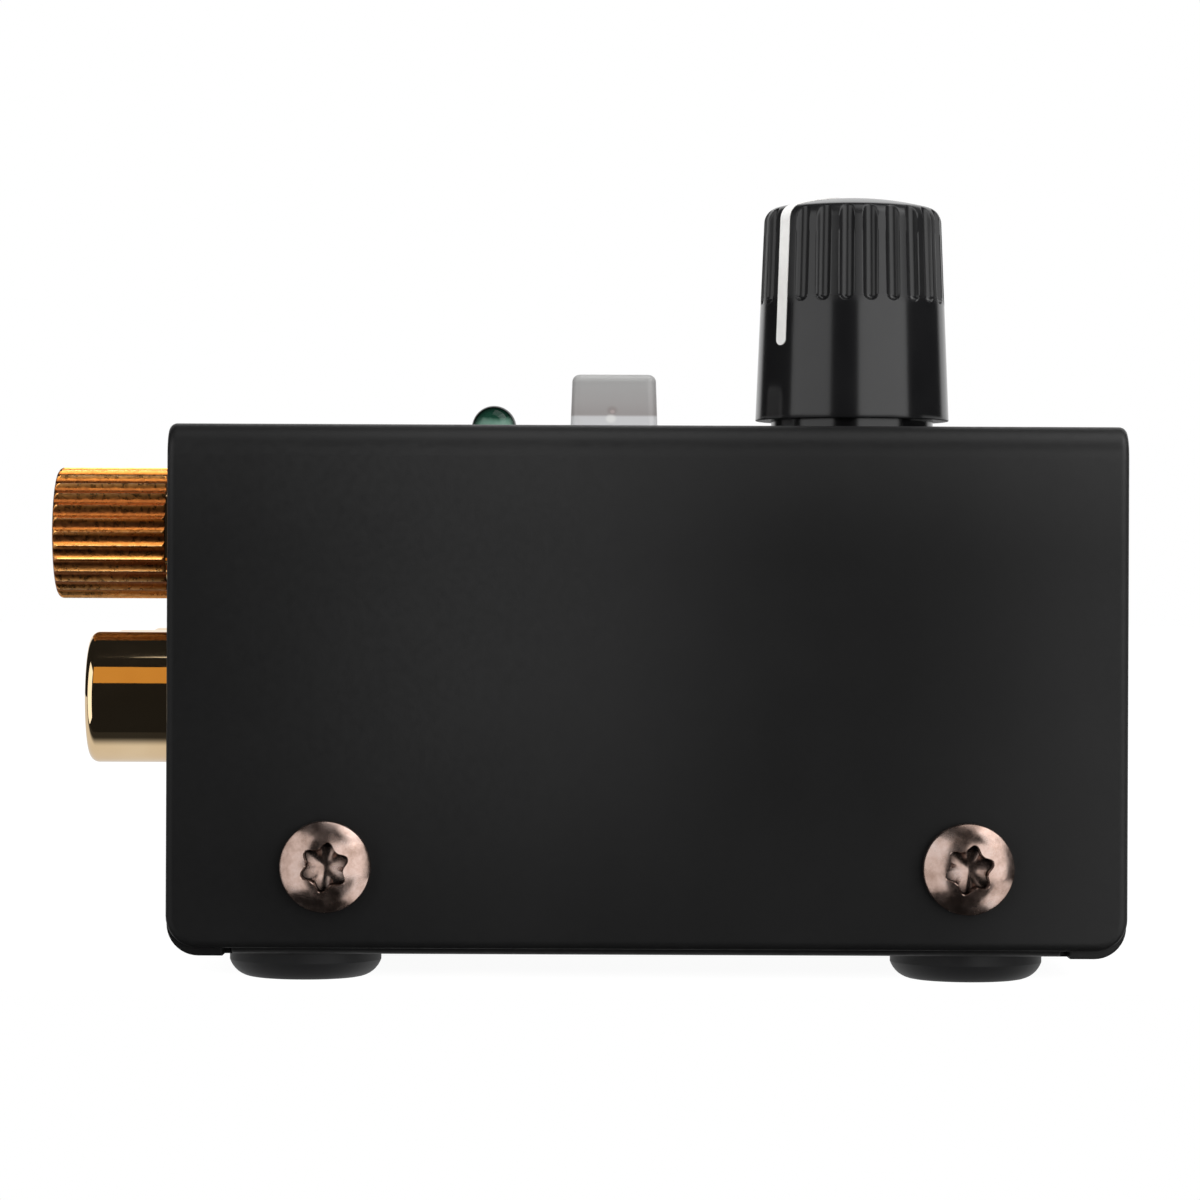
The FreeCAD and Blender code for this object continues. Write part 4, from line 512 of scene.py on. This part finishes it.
def calculate(tree, operation, *values):
    """The result of one step of arithmetic."""
    return add(tree, "ShaderNodeMath", dict(enumerate(values)), operation=operation).outputs["Value"]


def distance_from(tree, centre, stretch):
    """Distance in metres from a place in millimetres. A stretch of zero leaves an axis out."""
    flat = add(tree, "ShaderNodeVectorMath", {0: own_place(tree), 1: stretch},
               operation="MULTIPLY").outputs["Vector"]
    flat_centre = tuple(at * factor * MM for at, factor in zip(centre, stretch))
    return add(tree, "ShaderNodeVectorMath", {0: flat, 1: flat_centre},
               operation="DISTANCE").outputs["Value"]


def mixed(tree, share, low, high, blend="MIX"):
    """One colour mixed with another. Sockets 6 and 7 are the colours, 2 is the result."""
    return add(tree, "ShaderNodeMix", {0: share, 6: low, 7: high}, data_type="RGBA",
               blend_type=blend).outputs[2]


def mixed_shaders(tree, share, low, high):
    """One shader mixed with another."""
    return add(tree, "ShaderNodeMixShader", {0: share, 1: low, 2: high}).outputs["Shader"]


def bumped(tree, layers, last=None):
    """Normal of chained bumps, each (texture, height in metres, strength)."""
    for texture, distance, strength in layers:
        bump = add(tree, "ShaderNodeBump", {
            "Strength": strength, "Distance": distance, "Height": texture})
        if last:
            fill(tree, bump, {"Normal": last})
        last = bump.outputs["Normal"]
    return last


def material_named(name):
    """A new material with its node tree and its surface shader."""
    material = bpy.data.materials.new(name)
    material.use_nodes = True
    tree = material.node_tree
    shader = next(node for node in tree.nodes if node.type == "BSDF_PRINCIPLED")
    return material, tree, shader


# Materials

def surface(name, dark, light, gloss, metallic=0.0, grain=900, grain_depth=4e-6, spread=60):
    """A material with two tones of colour, varied gloss and a fine grain."""
    material, tree, shader = material_named(name)
    fill(tree, shader, {
        "Base Color": ramp(tree, mapped_noise(tree, spread, 3.0, 0.6),
                           [(0.32, dark), (0.68, light)]),
        "Roughness": varied(tree, spread * 3, gloss, gloss * 1.25),
        "Metallic": metallic,
        "Normal": bumped(tree, [(mapped_noise(tree, grain, 3.0, 0.6), grain_depth, 0.5)])})
    return material


def case_painted_sheen(tree):
    """Painted sheen: how strongly the coat mirrors, a plain level everywhere with more added where the
    light falls, at the front end, at the top and in a broad cloud.
    """
    cloud = map_range(tree, distance_from(tree, (0.0, 5.5, 25.0), (0.0, 1.0, 0.8)),
                      (0.0, 24.0 * MM), (0.24, 0.0), "SMOOTHERSTEP")
    place = split(tree, own_place(tree))
    front = map_range(tree, place["Y"], (-18.0 * MM, -36.0 * MM), (0.0, 0.16), "SMOOTHSTEP")
    top = map_range(tree, place["Z"], (26.0 * MM, 36.0 * MM), (0.0, 0.165), "SMOOTHSTEP")
    ends = calculate(tree, "ADD", front, top)
    everywhere = 0.115
    return calculate(tree, "ADD", calculate(tree, "ADD", ends, cloud), everywhere)


def case_paint():
    """Satin powder coat: fine orange peel, a few pale specks and a broad uneven painted sheen."""
    material, tree, shader = material_named("case_paint")
    coat = ramp(tree, mapped_noise(tree, 90, 4.0, 0.6), [(0.3, (0.0048, 0.0048, 0.0049)),
                                                         (0.7, (0.0064, 0.0064, 0.0065))])
    specks = ramp(tree, mapped_noise(tree, 420, 1.0, 0.4), [(0.0, 0.0), (0.83, 0.0), (0.86, 1.0)])
    soft_edges = add(tree, "ShaderNodeBevel", {"Radius": 0.25 * MM}, samples=4)
    peel = mapped_noise(tree, 2600, 2.0, 0.5)
    grain = mapped_noise(tree, 7500, 2.0, 0.6)
    fill(tree, shader, {
        "Base Color": mixed(tree, specks, coat, (0.03, 0.03, 0.03, 1)),
        "Roughness": varied(tree, 2200, 0.38, 0.46),
        # Painted sheen: the coat mirrors more at the front end, at the top and in a broad cloud.
        "Specular IOR Level": case_painted_sheen(tree),
        "Normal": bumped(tree, [(peel, 9e-6, 0.35), (grain, 4e-6, 0.4)],
                         soft_edges.outputs["Normal"])})
    return material


def knob_plastic():
    """Black plastic: glossy skirt, duller grooves, smoother dome."""
    material, tree, shader = material_named("knob_plastic")
    height = map_range(tree, split(tree, own_place(tree))["Z"],
                       (KNOB_LOW * MM, (KNOB_LOW + KNOB_H) * MM), (0.0, 1.0))
    fill(tree, shader, {
        "Base Color": ramp(tree, mapped_noise(tree, 300, 3.0), [(0.3, (0.0055, 0.0055, 0.006)),
                                                                (0.7, (0.008, 0.008, 0.0085))]),
        "Roughness": ramp(tree, height, [(0.51, 0.16), (0.56, 0.34), (0.93, 0.34), (0.96, 0.20)]),
        "Normal": bumped(tree, [(mapped_noise(tree, 2500), 3e-6, 0.25)])})
    return material


def copper_nickel():
    """Plated screw: clouded rose grey, with painted shade that darkens its recess."""
    material, tree, shader = material_named("copper_nickel")
    plating = ramp(tree, mapped_noise(tree, 700, 4.0, 0.65), [
        (0.25, (0.25, 0.165, 0.13)), (0.5, (0.42, 0.305, 0.26)), (0.75, (0.52, 0.41, 0.37))])
    # Painted shade: the recess's walls and floor are darkened where they are hidden from the light.
    corners = add(tree, "ShaderNodeAmbientOcclusion", {"Distance": 1.5 * MM}, samples=8)
    painted_recess_shade = ramp(tree, corners.outputs["AO"], [(0.30, 0.12), (0.50, 0.03), (0.78, 1.0)])
    waves = mapped_noise(tree, 900)
    fine = mapped_noise(tree, 6000, 3.0)
    fill(tree, shader, {
        "Base Color": mixed(tree, 1.0, plating, painted_recess_shade, "MULTIPLY"),
        "Metallic": 1.0,
        "Roughness": varied(tree, 1500, 0.16, 0.30, 3.0),
        "Normal": bumped(tree, [(waves, 2.5e-5, 0.25), (fine, 3e-6, 0.3)])})
    return material


def polished_gold():
    """Gold plating with faint streaks along the barrel."""
    material, tree, shader = material_named("polished_gold")
    streaks = mapped_noise(tree, 500, 3.0, 0.6, (3, 0.6, 3))
    fill(tree, shader, {
        "Base Color": ramp(tree, mapped_noise(tree, 260), [(0.3, (0.84, 0.61, 0.36)),
                                                           (0.7, (0.90, 0.68, 0.42))]),
        "Metallic": 1.0,
        "Roughness": varied(tree, 800, 0.03, 0.06),
        "Normal": bumped(tree, [(streaks, 5e-6, 0.25)])})
    return material


def knurled_gold():
    """Orange gold with a painted highlight on the crests, painted shade in the valleys, and fine
    sparkle.
    """
    material, tree, shader = material_named("knurled_gold")
    # Painted light: the colour runs from painted shade in the valleys to a painted highlight on the
    # crests.
    from_axis = distance_from(tree, NUT_PLACE, (1.0, 0.0, 1.0))
    painted_light_jitter = mapped_noise(tree, 4200, 3.0, 0.6, (1, 0.6, 1))
    reach = calculate(tree, "MULTIPLY_ADD", painted_light_jitter, 0.10 * MM, from_axis)
    crest_light_and_valley_shade = map_range(tree, reach, ((NUT_R - 0.22) * MM, (NUT_R + 0.08) * MM), (0.0, 1.0))
    grit = mapped_noise(tree, 3600, 3.0, 0.7)
    fine = mapped_noise(tree, 9000)
    fill(tree, shader, {
        "Base Color": ramp(tree, crest_light_and_valley_shade, [(0.0, (0.16, 0.055, 0.018)), (0.35, (0.42, 0.17, 0.045)),
                                         (0.72, (0.85, 0.42, 0.14)), (0.92, (1.0, 0.74, 0.42))]),
        "Metallic": 1.0,
        "Roughness": varied(tree, 3200, 0.22, 0.40),
        "Normal": bumped(tree, [(grit, 3.0e-5, 0.5), (fine, 1.4e-5, 0.6)])})
    return material


CAP_LOW, CAP_HIGH = 35.1, 39.2
# Small moulding mark on the cap, made of round spots: Y and Z of the middle, radius, colour
CAP_MARKS = (
    (-2.10, 36.80, 0.46, (0.28, 0.23, 0.22, 1)),
    (-2.12, 36.72, 0.20, (0.55, 0.46, 0.45, 1)),
    (-2.02, 36.25, 0.45, (0.95, 0.95, 0.92, 1)),
)


def button_plastic():
    """Milky plastic that lets light through, lighter near its foot."""
    material, tree, shader = material_named("button_plastic")
    height = map_range(tree, split(tree, own_place(tree))["Z"], (CAP_LOW * MM, CAP_HIGH * MM),
                       (0.0, 1.0))
    shade = ramp(tree, height, [
        (0.0, (0.72, 0.72, 0.73)), (0.31, (0.68, 0.68, 0.69)), (0.345, (0.37, 0.345, 0.34)),
        (0.55, (0.39, 0.375, 0.37)), (1.0, (0.40, 0.40, 0.395))])
    for across, up, radius, colour in CAP_MARKS:
        away = distance_from(tree, (0.0, across, up), (0.0, 1.0, 1.2))
        mark = map_range(tree, away, (radius * 0.4 * MM, radius * MM), (0.6, 0.0), "SMOOTHSTEP")
        shade = mixed(tree, mark, shade, colour)
    fill(tree, shader, {
        "Base Color": shade,
        "Roughness": varied(tree, 900, 0.27, 0.35, ends=(0.1, 0.9)),
        "Normal": bumped(tree, [(mapped_noise(tree, 3000), 4e-6, 0.3)]),
        "Transmission Weight": 0.25,
        "IOR": 1.45})
    return material


def led_green():
    """Green lens: dark green above, with painted light making it pale low down and painted shade
    darkening it at its outline.
    """
    material, tree, shader = material_named("led_green")
    tone = mapped_noise(tree, 700, 2.0, 0.5, (1, 1, 0.5))
    level = calculate(tree, "MULTIPLY_ADD", tone, 1.1 * MM, split(tree, own_place(tree))["Z"])
    height = map_range(tree, level, (36.0 * MM, 37.8 * MM), (0.0, 1.0))
    # Painted light: the lens turns pale low down; above, it keeps its own dark green.
    body = ramp(tree, height, [(0.0, (0.26, 0.40, 0.33)), (0.30, (0.12, 0.24, 0.18)),
                               (0.50, (0.010, 0.045, 0.028)), (1.0, (0.004, 0.02, 0.013))])
    # Painted shade: the lens darkens towards its outline.
    facing = add(tree, "ShaderNodeLayerWeight", {"Blend": 0.5}).outputs["Facing"]
    outline = ramp(tree, facing, [(0.25, 1.0), (0.60, 0.06)])
    fill(tree, shader, {
        "Base Color": mixed(tree, 1.0, body, outline, "MULTIPLY"),
        "Roughness": varied(tree, 900, 0.04, 0.09),
        "Normal": bumped(tree, [(mapped_noise(tree, 900, 1.0), 1e-5, 0.2)]),
        "Transmission Weight": 0.25,
        "IOR": 1.3})
    return material


def foot_rubber():
    """Black rubber of the feet."""
    return surface("foot_rubber", (0.010, 0.010, 0.011), (0.018, 0.018, 0.019), 0.5,
                   grain=2600, grain_depth=1.2e-5)


def pointer_white():
    """White line of the knob."""
    return surface("pointer_white", (0.70, 0.69, 0.67), (0.80, 0.79, 0.77), 0.42, spread=500,
                   grain=3000)


def bright_steel():
    """Bright steel of shaft, spring, board screws and contacts."""
    return surface("bright_steel", (0.52, 0.52, 0.53), (0.64, 0.64, 0.65), 0.22, metallic=1.0,
                   grain=1500)


def tinned_pins():
    """Tinned pins and leads."""
    return surface("tinned_pins", (0.60, 0.60, 0.60), (0.74, 0.74, 0.73), 0.30, metallic=1.0,
                   spread=400, grain=1500, grain_depth=1e-5)


def raw_brass():
    """Unplated brass of bushing and standoffs."""
    return surface("raw_brass", (0.62, 0.44, 0.19), (0.76, 0.58, 0.30), 0.28, metallic=1.0)


def phenolic():
    """Brown laminate of the level control's track."""
    return surface("phenolic", (0.20, 0.10, 0.04), (0.30, 0.17, 0.08), 0.6)


def white_plastic():
    """White plastic of wiper and plunger."""
    return surface("white_plastic", (0.72, 0.72, 0.70), (0.80, 0.80, 0.78), 0.45)


def black_plastic():
    """Black plastic with a fine grain."""
    return surface("black_plastic", (0.012, 0.012, 0.013), (0.022, 0.022, 0.023), 0.48,
                   grain=1800, grain_depth=8e-6)


def insert_white():
    """Insulator of a left jack."""
    return surface("insert_white", (0.68, 0.68, 0.66), (0.78, 0.78, 0.76), 0.30, spread=300)


def insert_red():
    """Insulator of a right jack."""
    return surface("insert_red", (0.42, 0.012, 0.012), (0.52, 0.02, 0.018), 0.30, spread=300)


def nickel_plate():
    """Nickel plate of the quarter-inch jack's nose and nut."""
    return surface("nickel_plate", (0.62, 0.61, 0.58), (0.72, 0.71, 0.68), 0.12, metallic=1.0,
                   spread=200)


def board_green():
    """Green board."""
    return surface("board_green", (0.012, 0.09, 0.03), (0.02, 0.13, 0.05), 0.35, spread=400,
                   grain=1200)


def wire_green():
    """Green cover of the ground wire."""
    return surface("wire_green", (0.04, 0.26, 0.06), (0.06, 0.34, 0.09), 0.4)


def can_aluminium():
    """Bare aluminium of the capacitors' cans."""
    return surface("can_aluminium", (0.66, 0.66, 0.67), (0.78, 0.78, 0.79), 0.25, metallic=1.0,
                   grain=1500)


def film_blue():
    """Blue film capacitors."""
    return surface("film_blue", (0.03, 0.09, 0.32), (0.05, 0.13, 0.42), 0.3)


def chip_ceramic():
    """Dark ceramic of the resistors."""
    return surface("chip_ceramic", (0.03, 0.03, 0.033), (0.06, 0.06, 0.065), 0.35)


MATERIALS = (
    case_paint, knob_plastic, copper_nickel, polished_gold, knurled_gold, button_plastic, led_green,
    foot_rubber, pointer_white, bright_steel, tinned_pins, raw_brass, phenolic, white_plastic,
    black_plastic, insert_white, insert_red, nickel_plate, board_green, wire_green, can_aluminium,
    film_blue, chip_ceramic,
)


def make_materials():
    """All materials by slot. Each function above has the name of its slot."""
    return {make.__name__: make() for make in MATERIALS}


def dress(piece, material):
    """Gives a piece one material alone."""
    piece.data.materials.clear()
    piece.data.materials.append(material)


# Studio, in metres

FLOOR_FRONT, FLOOR_REACH, FLOOR_SIDE = -0.0625, 4.0, 2.5
FLOOR_WHITE, FLOOR_MIRRORED, FLOOR_DIM = 1.08, 0.72, 0.03
# Along X: where the floor turns dim in mirrors, and where it takes more of the shadow
MIRROR_FADE, SHADOW_FADE = (-0.059, -0.052), (-0.0620, -0.0450)
LAMP_DISTANCE = 0.8
LAMP_TARGET = Vector((-0.05, 0.0, 0.025))
# Lamp: azimuth and elevation in degrees, width and height in metres, radiance, colour
LAMPS = {
    "left_box": (-55, 5, 0.80, 1.4, 1.3, (1, 1, 1)),
    "right_box": (37, 8, 0.96, 0.80, 1.8, (1, 1, 1)),
    "right_high": (66, 46, 0.55, 0.55, 1.5, (1, 1, 1)),
    "right_low": (66, -38, 0.55, 0.55, 1.5, (1, 1, 1)),
    "overhead_box": (72, 66, 0.55, 0.80, 1.3, (1, 1, 1)),
    "warm_strip": (-6, 39, 0.30, 0.42, 0.62, (1.0, 0.50, 0.09)),
    "warm_card": (0, 58, 1.4, 0.50, 3.2, (1.0, 0.84, 0.56)),
}


def floor_material():
    """White to the camera but for the object's shadow; dim where metal would mirror its edge."""
    material = bpy.data.materials.new("floor")
    material.use_nodes = True
    tree = material.node_tree
    tree.nodes.clear()
    along = split(tree, own_place(tree))["X"]
    paths = add(tree, "ShaderNodeLightPath").outputs
    mirrored = map_range(tree, along, MIRROR_FADE, (FLOOR_DIM, FLOOR_MIRRORED), "SMOOTHSTEP")
    bright = calculate(tree, "MULTIPLY_ADD", paths["Is Camera Ray"], FLOOR_WHITE, mirrored)
    glow = add(tree, "ShaderNodeEmission", {
        "Strength": calculate(tree, "MINIMUM", bright, FLOOR_WHITE)})
    diffuse = add(tree, "ShaderNodeBsdfDiffuse", {"Color": (0.82, 0.82, 0.82, 1)})
    seen = calculate(tree, "MAXIMUM", paths["Is Camera Ray"], paths["Is Transmission Ray"])
    glowing = map_range(tree, along, SHADOW_FADE, (0.99, 0.88), "SMOOTHSTEP")
    share = calculate(tree, "MAXIMUM", calculate(tree, "MULTIPLY", seen, glowing),
                      paths["Is Glossy Ray"])
    mix = mixed_shaders(tree, share, diffuse.outputs["BSDF"], glow.outputs["Emission"])
    add(tree, "ShaderNodeOutputMaterial", {"Surface": mix})
    return material


def make_floor():
    """Pale floor under and behind the object. It ends just in front of the end plate."""
    bm = bmesh.new()
    corners = [(FLOOR_FRONT, -FLOOR_SIDE, 0), (FLOOR_REACH, -FLOOR_SIDE, 0),
               (FLOOR_REACH, FLOOR_SIDE, 0), (FLOOR_FRONT, FLOOR_SIDE, 0)]
    bm.faces.new([bm.verts.new(corner) for corner in corners])
    mesh = bpy.data.meshes.new("floor")
    bm.to_mesh(mesh)
    bm.free()
    floor = bpy.data.objects.new("floor", mesh)
    bpy.context.scene.collection.objects.link(floor)
    dress(floor, floor_material())


def background(tree, strength):
    """White light of the world."""
    return add(tree, "ShaderNodeBackground", {
        "Color": (1, 1, 1, 1), "Strength": strength}).outputs["Background"]


def make_world():
    """White where the camera looks and behind the object, dim on the camera's side."""
    world = bpy.data.worlds.new("studio")
    bpy.context.scene.world = world
    world.use_nodes = True
    tree = world.node_tree
    tree.nodes.clear()
    direction = split(tree, add(tree, "ShaderNodeTexCoord").outputs["Generated"])
    paths = add(tree, "ShaderNodeLightPath").outputs
    # Metal mirrors white from behind the object and next to nothing from the camera's side.
    lean = calculate(tree, "MULTIPLY_ADD", direction["Y"], -0.12, direction["X"])
    sheen = background(tree, map_range(tree, lean, (0.70, 0.82), (0.014, 1.0), "SMOOTHSTEP"))
    # All else is lit from above more than from below.
    light = background(tree, map_range(tree, direction["Z"], (-0.1, 1.0), (0.30, 1.5)))
    lit = mixed_shaders(tree, paths["Is Glossy Ray"], light, sheen)
    seen = calculate(tree, "MAXIMUM", paths["Is Camera Ray"], paths["Is Transmission Ray"])
    add(tree, "ShaderNodeOutputWorld", {
        "Surface": mixed_shaders(tree, seen, lit, background(tree, 1.0))})


def make_lamp(name, azimuth, elevation, width, height, radiance, colour):
    """Soft box seen from the object. Azimuth runs from the camera's side towards -Y."""
    turn = math.radians(azimuth)
    rise = math.radians(elevation)
    direction = Vector((-math.cos(turn) * math.cos(rise), -math.sin(turn) * math.cos(rise),
                        math.sin(rise)))
    data = bpy.data.lights.new(name, "AREA")
    data.shape = "RECTANGLE"
    data.size = width
    data.size_y = height
    data.energy = radiance * math.pi * width * height
    data.color = colour
    lamp = bpy.data.objects.new(name, data)
    bpy.context.scene.collection.objects.link(lamp)
    lamp.location = LAMP_TARGET + direction * LAMP_DISTANCE
    lamp.rotation_euler = direction.to_track_quat("Z", "Y").to_euler()
    return lamp


def lit_alone(lamp, lit_pieces):
    """Keeps a lamp to some pieces, as a card held close to them does."""
    group = bpy.data.collections.new(lamp.name + "_pieces")
    for piece in lit_pieces:
        group.objects.link(piece)
    lamp.light_linking.receiver_collection = group


def make_lamps(barrels, nut):
    lamps = {name: make_lamp(name, *settings) for name, settings in LAMPS.items()}
    lit_alone(lamps["warm_strip"], barrels)
    lit_alone(lamps["warm_card"], [nut])


# Scene

make_camera()
materials = make_materials()
for part in frame["record"]["subparts"]:
    dress(nodes[part["node"]], materials[part["material_slot"]])
new_pieces = {
    "knob_plastic": [make_knob()],
    "knurled_gold": [make_thumb_nut()],
    "copper_nickel": make_cover_screws(),
    "polished_gold": make_barrels(),
    "nickel_plate": [make_jack_nose()],
}
for slot, made in new_pieces.items():
    for piece in made:
        dress(piece, materials[slot])
make_floor()
make_world()
make_lamps(new_pieces["polished_gold"], new_pieces["knurled_gold"][0])
bpy.context.scene.view_settings.view_transform = "Standard"
